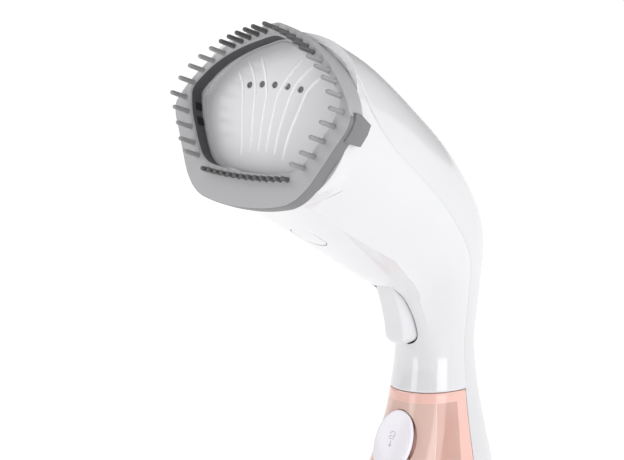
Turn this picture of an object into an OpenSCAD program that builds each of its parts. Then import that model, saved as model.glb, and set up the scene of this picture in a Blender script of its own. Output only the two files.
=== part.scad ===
// Handheld garment steamer with a detachable water tank and a clip-on bristle frame.
// Millimetres. +Z is up, the steam face looks towards -Y, and the origin is the
// centre of the base underside on the handle axis.

/* [Overall] */
// Height of the steam face centre above the base
face_z = 260; // [250:1:270]
// Distance of the steam face centre in front of the handle axis
face_reach = 135; // [128:1:142]
// Backward tilt of the steam face from vertical, degrees
face_tilt = 18.3; // [15:0.1:22]
// Height of the seam between the handle and the water tank
seam_z = 105; // [98:1:110]
// Height where the straight handle ends and the neck bends forward
bend_z = 150; // [145:1:156]
// Wall thickness of the housing shells
wall = 2.2; // [1.8:0.1:2.6]

/* [Head and handle] */
// Half width of the head behind the bristle frame
head_hw = 47; // [44:0.5:50]
// Half width of the neck, where the hand grips
neck_hw = 18.5; // [17:0.5:21]
// Depth of the neck in front of the handle axis
neck_front = 23.3; // [21:0.1:26]
// Depth of the neck behind the handle axis
neck_back = 21.3; // [20:0.1:24]
// Half width of the base
base_hw = 35.5; // [32:0.5:39]
// Depth of the base in front of the handle axis
base_front = 52; // [48:0.5:56]
// Depth of the base behind the handle axis
base_back = 41.5; // [39:0.5:46]
// Depth of the concave scoop along each side of the head
scoop = 1.4; // [0:0.1:2]

/* [Bristle frame] */
// Depth of the bristle frame
frame_t = 7.5; // [6.5:0.1:9]
// Flare of the frame's upper sides towards the back
frame_flare = 3; // [0:0.5:3.5]
// Length of each bristle
bristle_len = 10.3; // [7:0.1:12]
// Diameter of each bristle
bristle_d = 2.5; // [1.4:0.1:2.8]
// Travel that takes the frame clear of the head
frame_travel = 25; // [15:1:30]

/* [Steam plate] */
// Distance of the plate's crown behind the face plane
plate_back = 6; // [5:0.1:7]
// Radius of the plate's dome
plate_dome = 240; // [180:5:400]
// Diameter of a steam hole
hole_d = 3; // [2:0.1:4]
// Spacing of the steam holes
hole_pitch = 7.5; // [6:0.1:8.5]
// Number of raised ribs
rib_count = 6; // [4:2:8]
// Height of a raised rib
rib_h = 0.5; // [0.3:0.1:0.8]

/* [Trigger] */
// Half width of the trigger's finger face
trig_hw = 5.8; // [5:0.1:6.2]
// Diameter of the trigger's pivot pin
pin_d = 2.5; // [2:0.1:3]
// Radial clearance of the trigger on its pin
pin_clear = 0.05; // [0.03:0.01:0.1]
// Gap around the trigger in its slot
slot_gap = 0.7; // [0.5:0.1:1]

/* [Tank] */
// Wall thickness of the tank
tank_wall = 2; // [1.6:0.1:2.6]
// Gap between the tank and the handle around it
tank_gap = 0.4; // [0.3:0.1:0.8]
// Radius of the tank's filling mouth
mouth_r = 7; // [6:0.1:7.6]
// Half width of the oval latch
latch_hw = 9.5; // [8:0.1:10.5]
// Half length of the oval latch
latch_hl = 16; // [14:0.5:17]
// Thickness of the latch plate
latch_t = 3.2; // [2.8:0.1:3.6]

/* [Fittings] */
// Radius of the bore for the mains cord
cord_r = 3.5; // [3:0.1:4]
// Diameter of the housing screws
screw_d = 3; // [2.5:0.1:3.2]
// Radius of the pump body
pump_r = 9.5; // [8:0.5:10]

/* [Hidden] */
$fn = 48;

// Colours
white = [0.96, 0.96, 0.98];
soft_white = [0.92, 0.92, 0.94];
grey = [0.66, 0.66, 0.67];
dark_grey = [0.33, 0.33, 0.34];
rose = [0.90, 0.68, 0.62, 0.75];
steel = [0.75, 0.76, 0.78];
black = [0.12, 0.12, 0.13];

// Stations along the body from the face to the base:
// [y, z, heading angle, half width, lower or front depth, upper or back depth,
//  roundness below, roundness above]
// Height at share k of the way from the bend up to the face centre
function rise(k) = bend_z + k * (face_z - bend_z);
STATIONS = [
    [-face_reach + 7.5, face_z - 2.4, -face_tilt, head_hw, 44.5, 36, 2.6, 2.6],
    [-0.77 * face_reach, rise(0.864), -25, head_hw - 2, 43, 37.5, 2.5, 2.5],
    [-0.533 * face_reach, rise(0.691), -32, head_hw - 7, 42, 37, 2.4, 2.4],
    [-0.281 * face_reach, rise(0.482), -40, head_hw - 13, 40, 36, 2.3, 2.35],
    [-0.067 * face_reach, rise(0.236), -58, neck_hw + 8.5, 35, 32.5, 2.1, 2.3],
    [0, bend_z, -82, neck_hw + 2, 29.5, neck_back + 2.7, 2, 2.3],
    [0, (bend_z + seam_z + 1) / 2, -90, neck_hw, neck_front, neck_back, 2, 2.3],
    [0, seam_z, -90, neck_hw + 1.5, neck_front + 2.5, neck_back + 2.4, 2.05, 2.3],
    [0, 0.82 * seam_z, -90, neck_hw + 4, neck_front + 8.2, neck_back + 5.9, 2.1, 2.4],
    [0, 0.572 * seam_z, -90, base_hw - 8.5, base_front - 7.8, base_back - 9, 2.2, 2.5],
    [0, 0.286 * seam_z, -90, base_hw - 3.5, base_front - 1.6, base_back - 3.5, 2.35, 2.6],
    [0, 8, -90, base_hw, base_front, base_back, 2.45, 2.7],
    [0, 0, -90, base_hw - 1.2, base_front - 1.2, base_back - 1.2, 2.45, 2.7]];
SEAM = 7;               // station at the seam between handle and tank
LAST = len(STATIONS) - 1;

function clampi(i) = max(0, min(LAST, i));
function blend4(a, b, c, d, k) =
    0.5 * ((2 * b) + (c - a) * k + (2 * a - 5 * b + 4 * c - d) * k * k
    + (3 * b - a - 3 * c + d) * k * k * k);
// One station at any parameter t, on a smooth curve through the rows above
function station(t) =
    let (i = min(floor(t), LAST - 1), k = t - i,
        b = STATIONS[i], c = STATIONS[i + 1],
        a = i > 0 ? STATIONS[i - 1] : 2 * b - c,
        d = i + 2 <= LAST ? STATIONS[i + 2] : 2 * c - b)
    [for (j = [0:7]) blend4(a[j], b[j], c[j], d[j], k)];
function spow(v, e) = sign(v) * pow(abs(v), e);
function bump(x, lo, hi) = (x <= lo || x >= hi) ? 0 : pow(sin(180 * (x - lo) / (hi - lo)), 2);
// Depth of the side scoop at angle w and parameter t
function scoop_at(w, t) =
    let (m = w > 270 ? w : 540 - w)
    scoop * bump(m, 304, 352) * bump(t, 0.3, 6);
// A point of the section at t, at angle w (0 = +X side, 90 = back, 270 = front)
function body_point(t, w, inset) =
    let (s = station(t), e = 2 / (sin(w) < 0 ? s[6] : s[7]),
        cut = inset + scoop_at(w, t),
        x = (s[3] - cut) * spow(cos(w), e),
        q = ((sin(w) < 0 ? s[4] : s[5]) - cut) * spow(sin(w), e))
    [x, s[0] - q * sin(s[2]), s[1] + q * cos(s[2])];
// Parameter t at a height z on the straight handle
function t_at(z) = let (i = [for (k = [SEAM - 1:LAST - 1])
        if (z <= STATIONS[k][1] && z >= STATIONS[k + 1][1]) k][0])
    i + (STATIONS[i][1] - z) / (STATIONS[i][1] - STATIONS[i + 1][1]);

// A solid swept through rings of equal size; each ring is a closed loop of points.
// With strip = true the end caps are built as pairs of quads across a thin wall.
module sweep_rings(rings, strip = false) {
    n = len(rings[0]);
    m = len(rings);
    h = n / 2;
    pts = [for (r = rings) for (p = r) p];
    sides = [for (i = [0:m - 2], j = [0:n - 1])
        let (a = i * n + j, b = i * n + (j + 1) % n)
        each [[a, b, a + n], [b, b + n, a + n]]];
    fan = [for (j = [1:n - 2]) [0, j + 1, j]];
    wallcap = [for (j = [0:h - 2]) each [[j, n - 1 - j, j + 1], [j + 1, n - 1 - j, n - 2 - j]]];
    front = strip ? wallcap : fan;
    back = [for (f = front) [for (k = [2:-1:0]) f[k] + (m - 1) * n]];
    polyhedron(points = pts, faces = concat(sides, front, back), convexity = 8);
}

// One ring of a shell wall between angles w0 and w1
function wall_ring(t, w0, w1, n, thick, inset = 0) = concat(
    [for (k = [0:n]) body_point(t, w0 + (w1 - w0) * k / n, inset)],
    [for (k = [n:-1:0]) body_point(t, w0 + (w1 - w0) * k / n, inset + thick)]);

module half_shell(t0, t1, steps, w0, w1, n = 20) {
    sweep_rings([for (i = [0:steps])
        wall_ring(t0 + (t1 - t0) * i / steps, w0, w1, n, wall)], strip = true);
}

// Places children on the steam face: X across, Y up the face, Z out along the steam
module on_face(off = 0) {
    translate([0, -face_reach, face_z])
        rotate([90 - face_tilt, 0, 0])
        translate([0, 0, off]) children();
}

// Cylinder along X, centred
module rod_x(r, len) { rotate([0, 90, 0]) cylinder(r = r, h = len, center = true); }

// ---------------------------------------------------------------- housing
// Trigger profile in the YZ plane
NOSE_Z = bend_z - 14;   // height of the nose that works the switch
function trig(p) = [p[0] - neck_front, p[1] + NOSE_Z];
TRIG_PIVOT = trig([-5.2, 20]);
TRIG_FRONT = [for (p = [[-18.2, 22.5], [-15.3, 15], [-12.7, 7], [-11.3, -1], [-9.9, -5],
    [-6.7, -7.7], [-3.2, -7.8]]) trig(p)];
TRIG_BACK = [for (p = [[3.8, -4.5], [6.3, 4], [3.8, 12], [-2.7, 22.5], [-6.7, 24.5],
    [-10.7, 24.6]]) trig(p)];

module yz_prism(points, half) {
    rotate([90, 0, 90]) translate([0, 0, -half]) linear_extrude(2 * half) polygon(points);
}

module shell_front() color(white) difference() {
    half_shell(0, SEAM, 35, 180, 360);
    // slot for the trigger
    yz_prism([for (p = [[-26.7, -8.8], [11.3, -8.8], [11.3, 14], [1.3, 26.4], [-26.7, 26.4]]) trig(p)],
        trig_hw + slot_gap);
    // seat of the oval cap under the head
    cap_place() translate([0, 0, -6]) cap_shape(0.3, 12);
}

module shell_back() color(soft_white) difference() {
    half_shell(0, LAST, 60, 0, 180);
    // hole for the cord gland
    gland_place() cylinder(r = cord_r + 3.5, h = 30, center = true);
    // indicator window
    indicator_place() cylinder(r = 2.4, h = 16, center = true);
}

// Flat wall that closes the spine behind the tank
module spine_wall() color(soft_white) {
    zs = [3.2, 8, 30, 60, 0.82 * seam_z, seam_z - 1];
    edge = [for (z = zs) [station(t_at(z))[3] - wall - 0.25, z]];
    pts = concat(edge, [for (i = [len(zs) - 1:-1:0]) [-edge[i][0], zs[i]]]);
    difference() {
        translate([0, 2.2, 0]) rotate([90, 0, 0]) linear_extrude(2) polygon(pts);
        // cable and feed pass-through under the dock
        translate([0, 1, seam_z - 17]) rotate([90, 0, 0]) cylinder(r = 4, h = 8, center = true);
    }
}

module spine_rail() color(soft_white)
    for (s = [-1, 1]) translate([s * 9 - 1, 2.3, 6]) cube([2, 5, 76]);

// ---------------------------------------------------------------- steam head
// Inner opening of the bristle frame: half outline from the apex to the bottom
INNER = [[0, 31.8], [10, 29], [20, 24.8], [30, 18.9], [38, 11.6], [43.2, 3.4], [42.6, 0.4],
    [40.5, -6], [36.8, -13], [33, -19.6], [28.5, -25.6], [24.5, -28.2], [18, -29.6],
    [10, -30.5], [0, -30.8]];
OUTER = [[0, 37.8], [3, 37.3], [14, 33.4], [28, 25.3], [40, 14.3], [49.6, 1], [51.2, -2.6],
    [50.6, -6.5], [46.3, -15], [41, -25], [35, -35.2], [30, -40.6], [25, -43.6], [19, -45.2],
    [10, -46.6], [0, -47]];
function both(half) = concat(half, [for (i = [len(half) - 2:-1:1]) [-half[i][0], half[i][1]]]);
// Outline moved towards the plate's centre by d
function shrink(half, d) = [for (p = half) let (l = norm(p)) p * (l - d) / l];

module steam_plate() color([0.95, 0.95, 0.95]) difference() {
    union() {
        dome_cap(1.5, 0);
        intersection() {
            plate_ribs();
            on_face(-plate_back - plate_dome) sphere(r = plate_dome + rib_h, $fn = 240);
        }
    }
    dome_cap(4, 2.5);
    steam_holes(hole_d / 2, 20);
}

// The plate's outline, d inside the frame opening, under a dome sunk by "sink"
module dome_cap(d, sink) intersection() {
    on_face(-plate_back - 8 - sink) linear_extrude(12) polygon(both(shrink(INNER, d)));
    on_face(-plate_back - plate_dome) sphere(r = plate_dome - sink, $fn = 240);
}

// Ribs that fan out from the bottom of the plate towards its upper edge
module plate_ribs()
    for (i = [0:rib_count - 1]) {
        u = (i - (rib_count - 1) / 2) / ((rib_count - 1) / 2);
        foot = [12 * u, -23];
        head = [25 * u, 22 - 7 * u * u];
        side = [0.55, 0];
        on_face(-plate_back - 7) linear_extrude(9)
            polygon([foot - side, foot + side, head + 2.2 * side, head - 2.2 * side]);
    }

module steam_holes(r, depth)
    for (i = [-2:2]) on_face(-plate_back - depth / 2)
        translate([i * hole_pitch, 10.6 - 0.25 * i * i, 0]) cylinder(r = r, h = depth, center = true);

// Ring that closes the front of the housing and carries the plate
module head_bezel() color(white) difference() {
    on_face(-frame_t - 2.8) linear_extrude(2) polygon(head_section(wall + 0.9));
    on_face(-frame_t - 4) linear_extrude(5) polygon(both(shrink(INNER, 1.1)));
}
// Outline of the housing's front end, moved inwards by d, in the face's own axes
function head_section(d) = [for (k = [0:71]) let (w = 5 * k, s = STATIONS[0],
    e = 2 / (sin(w) < 0 ? s[6] : s[7]))
    [(s[3] - d) * spow(cos(w), e), ((sin(w) < 0 ? s[4] : s[5]) - d) * spow(sin(w), e)]];

module head_frame() color(black) difference() {
    on_face(-frame_t - 13) linear_extrude(5) polygon(both(shrink(OUTER, 9.5)));
    on_face(-frame_t - 14) linear_extrude(8) polygon(both(shrink(INNER, 3)));
}

module steam_gasket() color([0.75, 0.2, 0.15]) difference() {
    on_face(-plate_back - 9.8) linear_extrude(1.6) polygon(both(shrink(INNER, 3.4)));
    on_face(-plate_back - 11) linear_extrude(4) polygon(both(shrink(INNER, 6.5)));
}

// Flat plate behind the dome that spreads the steam, with the duct's socket
module steam_diffuser() color(steel) difference() {
    on_face(-plate_back - 12) linear_extrude(2) polygon(both(shrink(INNER, 3.4)));
    on_face(-plate_back - 13) translate([0, DUCT_UP, 0]) cylinder(r = duct_r + 0.02, h = 6);
}

// Steam chamber in the middle of the head, across the head's centre line
BOILER_T = 10;
BOILER_R = 25;
BOILER_TURN = 90 - 36;
BOILER = [0, -0.37 * face_reach, rise(0.564)];
DUCT_UP = 2;
duct_r = 6;
function boiler_point(y, z) = BOILER
    + [0, y * cos(BOILER_TURN) - z * sin(BOILER_TURN), y * sin(BOILER_TURN) + z * cos(BOILER_TURN)];
module in_boiler() translate(BOILER) rotate([BOILER_TURN, 0, 0]) children();

module steam_chamber() color(steel) difference() {
    in_boiler() cylinder(r = BOILER_R, h = BOILER_T);
    // steam cavity towards the duct
    in_boiler() translate([0, 0, 5.5]) cylinder(r = 9, h = BOILER_T);
    // groove for the heating element
    element_shape(2.95);
    // water inlet
    in_boiler() translate([0, 16, -1]) cylinder(r = 1.5, h = 9);
}

// Cap that carries the steam duct
module chamber_cap() color(steel) difference() {
    in_boiler() translate([0, 0, BOILER_T + 0.1]) cylinder(r = 14, h = 3);
    in_boiler() translate([0, 0, BOILER_T - 1]) cylinder(r = duct_r, h = 6);
}

module steam_duct() color(soft_white)
    tube_run([boiler_point(0, BOILER_T + 3.2), face_point([0, DUCT_UP], -plate_back - 12.6)],
        duct_r, duct_r - 1.5);

// U-shaped heating element that lies in a groove of the chamber
module element_shape(r) in_boiler() translate([0, -3, 1.5]) {
    rotate([0, 0, 180]) rotate_extrude(angle = 180) translate([14, 0]) circle(r = r);
    for (s = [-1, 1]) translate([s * 14, 0, 0]) rotate([-90, 0, 0]) cylinder(r = r, h = 16);
}
module heating_element() color([0.55, 0.5, 0.45]) element_shape(2.8);

module chamber_cover() color(steel) difference() {
    in_boiler() translate([0, 0, -4.2]) cylinder(r = BOILER_R - 1, h = 2);
    in_boiler() translate([0, 16, -5]) cylinder(r = 3, h = 6);
}

module thermostat() color([0.85, 0.8, 0.7]) in_boiler() translate([-10, -8, -10.3]) {
    cylinder(r = 7, h = 6);
    for (s = [-1, 1]) translate([s * 4 - 1, -2, -4]) cube([2, 4, 4.1]);
}

module thermal_fuse() color([0.9, 0.9, 0.92]) in_boiler() translate([12, -8, -6.6])
    rotate([90, 0, 0]) cylinder(r = 2.2, h = 12, center = true);

// Water line along a few straight runs with round elbows
module tube_run(points, r, bore) {
    for (i = [0:len(points) - 2]) {
        a = points[i];
        d = points[i + 1] - a;
        l = norm(d);
        translate(a) rotate([0, acos(d[2] / l), atan2(d[1], d[0])]) difference() {
            cylinder(r = r, h = l);
            translate([0, 0, -1]) cylinder(r = bore, h = l + 2);
        }
    }
}

// Round tube bent in the YZ plane through points [y, z], with true elbows
module bent_tube(points, r, bore, bend) rotate([90, 0, 90]) difference() {
    bent_rod(points, r, bend);
    bent_rod(points, bore, bend);
}
module bent_rod(points, r, bend) {
    n = len(points);
    dirs = [for (i = [0:n - 2]) let (d = points[i + 1] - points[i]) atan2(d[1], d[0])];
    function turn(i) = dirs[i] - dirs[i - 1];
    function trim(i) = (i == 0 || i == n - 1) ? 0 : bend * abs(tan(turn(i) / 2));
    for (i = [0:n - 2]) {
        a = dirs[i];
        u = [cos(a), sin(a)];
        translate(points[i] + trim(i) * u) rotate([0, 90, a])
            cylinder(r = r, h = norm(points[i + 1] - points[i]) - trim(i) - trim(i + 1));
        if (i > 0) {
            b = dirs[i - 1];
            side = turn(i) > 0 ? 1 : -1;
            c = points[i] - trim(i) * [cos(b), sin(b)] + side * bend * [-sin(b), cos(b)];
            translate(c) rotate([0, 0, side > 0 ? b - 90 : b + 90 + turn(i)])
                rotate_extrude(angle = abs(turn(i))) translate([bend, 0]) circle(r = r);
        }
    }
}

// Inlet of the steam chamber
INLET = boiler_point(16, -0.5);
PUMP_Y = 8;
PUMP_Z = seam_z + 20;   // underside of the pump body
SUPPLY = [[0, PUMP_Y, PUMP_Z + 33], [0, PUMP_Y, bend_z + 21], boiler_point(16, -14), INLET];
module supply_tube() color(soft_white) {
    tube_run(SUPPLY, 2, 1);
    for (p = [SUPPLY[1], SUPPLY[2]]) translate(p) sphere(r = 2.9);
}

module pump() color([0.2, 0.22, 0.25]) translate([0, PUMP_Y, PUMP_Z]) {
    cylinder(r = pump_r, h = 26);
    translate([0, 0, 26]) cylinder(r = 5, h = 4);
    translate([0, 0, 30]) cylinder(r = 2, h = 3);
    translate([0, 0, -6]) cylinder(r = 4, h = 6);
}

module pump_bracket() color(dark_grey) difference() {
    translate([-13.5, PUMP_Y - 4, PUMP_Z + 10]) cube([27, 8, 5]);
    translate([0, PUMP_Y, PUMP_Z + 6]) cylinder(r = pump_r + 0.2, h = 12);
}

module feed_tube() color(soft_white)
    bent_tube([[MOUTH_Y, seam_z + 7], [MOUTH_Y, seam_z + 10.5], [PUMP_Y, seam_z + 10.5], [PUMP_Y, PUMP_Z - 6]],
        2.2, 1.2, 3.4);

module circuit_board() color([0.15, 0.4, 0.25])
    translate([-12, 14, bend_z + 9]) cube([24, 1.6, 24]);

module underside_cap() color(white) cap_place() cap_shape(0, 2);
CAP_T = 1.75;           // station of the cap under the head
CAP_HW = 7;
CAP_HL = 10;
module cap_shape(grow, h) {
    for (s = [-1, 1]) translate([0, s * (CAP_HL - CAP_HW), 0]) cylinder(r = CAP_HW + grow, h = h);
    translate([-CAP_HW - grow, -CAP_HL + CAP_HW, 0]) cube([2 * (CAP_HW + grow), 2 * (CAP_HL - CAP_HW), h]);
}
module cap_place() {
    p = body_point(CAP_T, 270, 0);
    q = body_point(CAP_T + 0.1, 270, 0);
    slope = atan2(q[2] - p[2], q[1] - p[1]);
    translate([0, p[1], p[2] + 0.1]) rotate([slope, 0, 0]) children();
}

// ---------------------------------------------------------------- trigger
SWITCH_Y = 14.5 - neck_front;   // front of the microswitch
module trigger() color(white) difference() {
    union() {
        yz_prism(concat(TRIG_FRONT, TRIG_BACK), trig_hw);
        translate([0, TRIG_PIVOT[0], TRIG_PIVOT[1]]) rod_x(3.2, 2 * trig_hw);
        // nose that presses the switch
        translate([0, SWITCH_Y - 13.2, NOSE_Z]) rotate([-90, 0, 0]) cylinder(r = 2, h = 9.7);
    }
    translate([0, TRIG_PIVOT[0], TRIG_PIVOT[1]]) rod_x(pin_d / 2 + pin_clear, 4 * trig_hw);
    // pocket for the return spring
    translate([0, SWITCH_Y - 16.2, NOSE_Z + 10.6]) rotate([-90, 0, 0]) cylinder(r = 3.1, h = 12);
}

module trigger_pin() color(steel)
    translate([0, TRIG_PIVOT[0], TRIG_PIVOT[1]]) rod_x(pin_d / 2, 2 * (trig_hw + slot_gap) + 2.6);

// Two ears that carry the pin beside the slot
module trigger_cradle() color(soft_white) difference() {
    for (s = [-1, 1])
        translate([s * (trig_hw + slot_gap + 0.7) - 0.7, TRIG_PIVOT[0] - 2, TRIG_PIVOT[1] - 1.5])
            cube([1.4, 14, 4.6]);
    translate([0, TRIG_PIVOT[0], TRIG_PIVOT[1]]) rod_x(pin_d / 2 + 0.01, 30);
}

// Compression spring drawn as a stack of rings joined by a thin guide post
module ring_spring(r, wire, turns, pitch) {
    for (i = [0:turns - 1]) translate([0, 0, i * pitch])
        rotate_extrude() translate([r, 0]) circle(r = wire, $fn = 16);
    translate([0, 0, -wire]) cylinder(r = r - wire - 0.2, h = (turns - 1) * pitch + 2 * wire);
    for (i = [0:turns - 1]) translate([0, 0, i * pitch - 0.3]) cylinder(r = r, h = 0.6);
}

module trigger_spring() color(steel)
    translate([0, SWITCH_Y - 13.6, NOSE_Z + 11]) rotate([-90, 0, 0]) ring_spring(1.8, 0.4, 7, 2.92);

module microswitch() color(black) difference() {
    translate([-3.2, SWITCH_Y, NOSE_Z - 10]) cube([6.4, 4.4, 15]);
    translate([0, SWITCH_Y - 1, NOSE_Z]) rotate([-90, 0, 0]) cylinder(r = 1.25, h = 4.3);
}
module switch_bracket() color(dark_grey)
    translate([-6.5, SWITCH_Y + 4.4, NOSE_Z - 14]) cube([13, 1.8, 30]);
module switch_plunger() color([0.8, 0.2, 0.15])
    translate([0, SWITCH_Y - 3.2, NOSE_Z]) rotate([-90, 0, 0]) cylinder(r = 1.2, h = 3.8);

// ---------------------------------------------------------------- bristle frame
// Outline of the frame's back edge, flared on the upper sides
function flare(p) = frame_flare * bump(p[1], -14, 36);
OUTER_BACK = [for (p = OUTER) let (l = norm(p)) p * (l + flare(p)) / l];
function face_point(p, off) = [p[0],
    -face_reach + p[1] * sin(face_tilt) - off * cos(face_tilt),
    face_z + p[1] * cos(face_tilt) + off * sin(face_tilt)];

module bristle_frame() color(grey) {
    outer_f = both(OUTER);
    n = len(outer_f);
    difference() {
        sweep_rings([for (k = [[0, -frame_t], [0.9, -1.2], [1.6, 0]])
            [for (i = [0:n - 1])
                let (b = both(OUTER_BACK)[i], f = outer_f[i], l = norm(f))
                face_point(k[0] == 0 ? b : f * (l - k[0] + 0.9) / l, k[1])]]);
        on_face(-frame_t - 1) linear_extrude(frame_t + 2) polygon(both(INNER));
    }
}

// Tabs at the side corners that reach back over the housing, and a top hook
module frame_clips() color(dark_grey) {
    for (s = [-1, 1]) on_face(-frame_t - 8)
        linear_extrude(8) polygon([for (p = [[48.2, 2], [51.5, -1], [51.5, -8], [48.2, -13]])
            [s * p[0], p[1]]]);
}

function pin_row(list, off) = [for (p = list) each [[p[0], p[1]], [-p[0], p[1]]]];
LIGHT = pin_row([[46, 0], [42.9, 7.1], [38.7, 13.1], [33.7, 17.8], [28.2, 21.8],
    [42.7, -6.5], [38.8, -13.5], [35.2, -20.6], [31, -26.1]], 0);
DARK_TOP = concat(pin_row([[23.2, 25.4], [19.1, 27.8], [14.9, 29.8], [10.6, 31.6], [6.2, 33.2]], 0),
    [[0, 34.8]]);
DARK_ROW = [for (i = [-6:6]) [i * 3.9, -33.4 + 0.035 * i * i]];

module bristle(p, len, r) {
    on_face(0) translate([p[0], p[1], 0]) {
        cylinder(r = r, h = len - r);
        translate([0, 0, len - r]) sphere(r = r, $fn = 24);
    }
}
module bristles_light() color(grey) for (p = LIGHT) bristle(p, bristle_len, bristle_d / 2);
module bristles_dark() color(dark_grey) {
    for (p = DARK_TOP) bristle(p, bristle_len, bristle_d / 2);
    for (p = DARK_ROW) bristle(p, bristle_len * 0.45, bristle_d / 2);
}

// ---------------------------------------------------------------- tank
MOUTH_Y = -11.5;        // the mouth's distance in front of the handle axis
TANK_TOP = seam_z - tank_gap;
TANK_BASE = 0.9;
// D-shaped ring of the tank at height z
function tank_ring(z, inset, n = 18) =
    let (t = t_at(z), back = -tank_gap - inset)
    [for (k = [0:n])
        let (p = body_point(t, 180 + 180 * k / n, inset + 0.2))
        [p[0], min(p[1], back), z]];

module tank_solid(inset, z0, z1, steps) {
    sweep_rings([for (i = [0:steps]) tank_ring(z1 + (z0 - z1) * i / steps, inset)]);
}

module tank_shell() color(rose) difference() {
    tank_solid(0, TANK_BASE + 2, TANK_TOP, 16);
    difference() {
        tank_solid(tank_wall, TANK_BASE + 5, TANK_TOP + 0.01, 14);
        // pocket wall around the latch
        latch_place() translate([0, 0, -latch_t - LATCH_ROOM - 1.6])
            linear_extrude(16) latch_outline(2);
    }
    latch_place() translate([0, 0, -latch_t - LATCH_ROOM]) linear_extrude(16) latch_outline(0.5);
    latch_place() translate([0, -LATCH_PIVOT, -latch_t + 0.9]) rod_x(1.02, 20.6);
}

module tank_lid() color(rose) difference() {
    translate([0, 0, TANK_TOP - 5]) linear_extrude(3)
        polygon([for (p = tank_ring(TANK_TOP - 1.5, tank_wall + 0.05)) [p[0], p[1]]]);
    translate([0, MOUTH_Y, TANK_TOP - 6]) cylinder(r = mouth_r + 1.6, h = 6);
}

module tank_spigot() color(soft_white) translate([0, MOUTH_Y, 0]) difference() {
    translate([0, 0, TANK_TOP - 8]) cylinder(r = mouth_r + 1.5, h = 7.6);
    translate([0, 0, TANK_TOP - 9]) cylinder(r = mouth_r, h = 12);
}

module tank_foot() color(rose) linear_extrude(TANK_BASE + 2)
    polygon([for (p = tank_ring(3, 1.2)) [p[0], p[1]]]);

module suction_tube() color(soft_white)
    translate([0, MOUTH_Y, 0]) difference() {
        translate([0, 0, 10]) cylinder(r = 2, h = TANK_TOP + 2 - 10);
        translate([0, 0, 9]) cylinder(r = 1.2, h = TANK_TOP);
    }

module tank_filter() color(dark_grey) translate([0, MOUTH_Y, 6.2]) difference() {
    cylinder(r = 3.6, h = 8);
    translate([0, 0, 3.8]) cylinder(r = 2.02, h = 8);
}

module tank_dock() color(soft_white) difference() {
    union() {
        translate([0, MOUTH_Y, seam_z + 3.5]) cylinder(r = 4.2, h = 3.4);
        translate([0, 0, seam_z + 0.6]) linear_extrude(3)
            polygon([for (k = [0:35])
                let (p = body_point(SEAM - 0.08, k * 10, wall + 0.35)) [p[0], p[1]]]);
    }
    translate([0, MOUTH_Y, seam_z - 1]) cylinder(r = 2.6, h = 12);
}

module dock_seal() color(dark_grey) translate([0, MOUTH_Y, seam_z - 0.07])
    rotate_extrude() translate([mouth_r + 0.75, 0]) circle(r = 0.65);

// ---------------------------------------------------------------- latch
LATCH_Z = seam_z - 24.5;
LATCH_PIVOT = 7;        // the pin's distance below the latch's centre
LATCH_ROOM = 2.4;       // space behind the latch for its travel
LATCH_SLOPE = 24;       // lean of the tank's front under the latch
module latch_place() {
    p = body_point(t_at(LATCH_Z), 270, 0);
    translate([0, p[1] - 1.6, LATCH_Z]) rotate([90 - LATCH_SLOPE, 0, 0]) children();
}
module latch_outline(grow)
    polygon([for (k = [0:47]) [(latch_hw + grow) * cos(7.5 * k), (latch_hl + grow) * sin(7.5 * k)]]);
module latch() color([0.95, 0.94, 0.96]) difference() {
    union() {
        latch_place() translate([0, 0, -latch_t]) linear_extrude(latch_t) latch_outline(0);
        latch_place() translate([0, -LATCH_PIVOT, -latch_t + 0.9]) rod_x(1.9, 12);
    }
    latch_place() translate([0, -LATCH_PIVOT, -latch_t + 0.9]) rod_x(1.05, 40);
    latch_place() translate([0, 8, -latch_t - 0.1]) cylinder(r = 2.8, h = 1.9);
}
module latch_pin() color(steel)
    latch_place() translate([0, -LATCH_PIVOT, -latch_t + 0.9]) rod_x(1, 20.4);
module latch_spring() color(steel) latch_place() translate([0, 8, -latch_t - LATCH_ROOM + 0.35])
    ring_spring(1.9, 0.35, 3, 1);

// ---------------------------------------------------------------- fittings
module gland_place() translate([0, base_back - 7, 22]) rotate([-90, 0, 0]) children();
module cord_gland() color(dark_grey) gland_place() difference() {
    union() {
        translate([0, 0, -6]) cylinder(r = cord_r + 3.3, h = 16);
        translate([0, 0, 8.2]) cylinder(r = cord_r + 4.6, h = 1.8);
    }
    translate([0, 0, -7]) cylinder(r = cord_r, h = 30);
}

module indicator_place() {
    p = body_point(2.6, 90, 0);
    translate(p) rotate([-38, 0, 0]) children();
}
module indicator() color([0.6, 0.85, 0.95]) indicator_place()
    translate([0, 0, -3]) cylinder(r = 2.2, h = 3.2);

module base_pad() color(dark_grey)
    linear_extrude(2.9) polygon([for (k = [0:24])
        let (p = body_point(LAST - 0.3, 180 * k / 24, wall + 0.8)) [p[0], max(p[1], -0.2)]]);

module housing_screws() color(steel)
    for (p = [[-9, 9, seam_z - 9], [9, 9, seam_z - 9], [-12, 22, 34], [12, 22, 34]])
        translate(p) rotate([-90, 0, 0]) {
            cylinder(d = screw_d, h = 8);
            translate([0, 0, -1.8]) cylinder(d = 2 * screw_d, h = 1.9);
        }

shell_front();
shell_back();
spine_wall();
spine_rail();
head_bezel();
steam_plate();
steam_diffuser();
steam_chamber();
chamber_cap();
steam_duct();
heating_element();
chamber_cover();
thermostat();
thermal_fuse();
steam_gasket();
head_frame();
pump();
pump_bracket();
feed_tube();
supply_tube();
circuit_board();
microswitch();
switch_bracket();
switch_plunger();
trigger();
trigger_pin();
trigger_cradle();
trigger_spring();
underside_cap();
tank_dock();
dock_seal();
cord_gland();
base_pad();
housing_screws();
indicator();
bristle_frame();
frame_clips();
bristles_light();
bristles_dark();
tank_shell();
tank_lid();
tank_spigot();
tank_foot();
suction_tube();
tank_filter();
latch();
latch_pin();
latch_spring();
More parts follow.
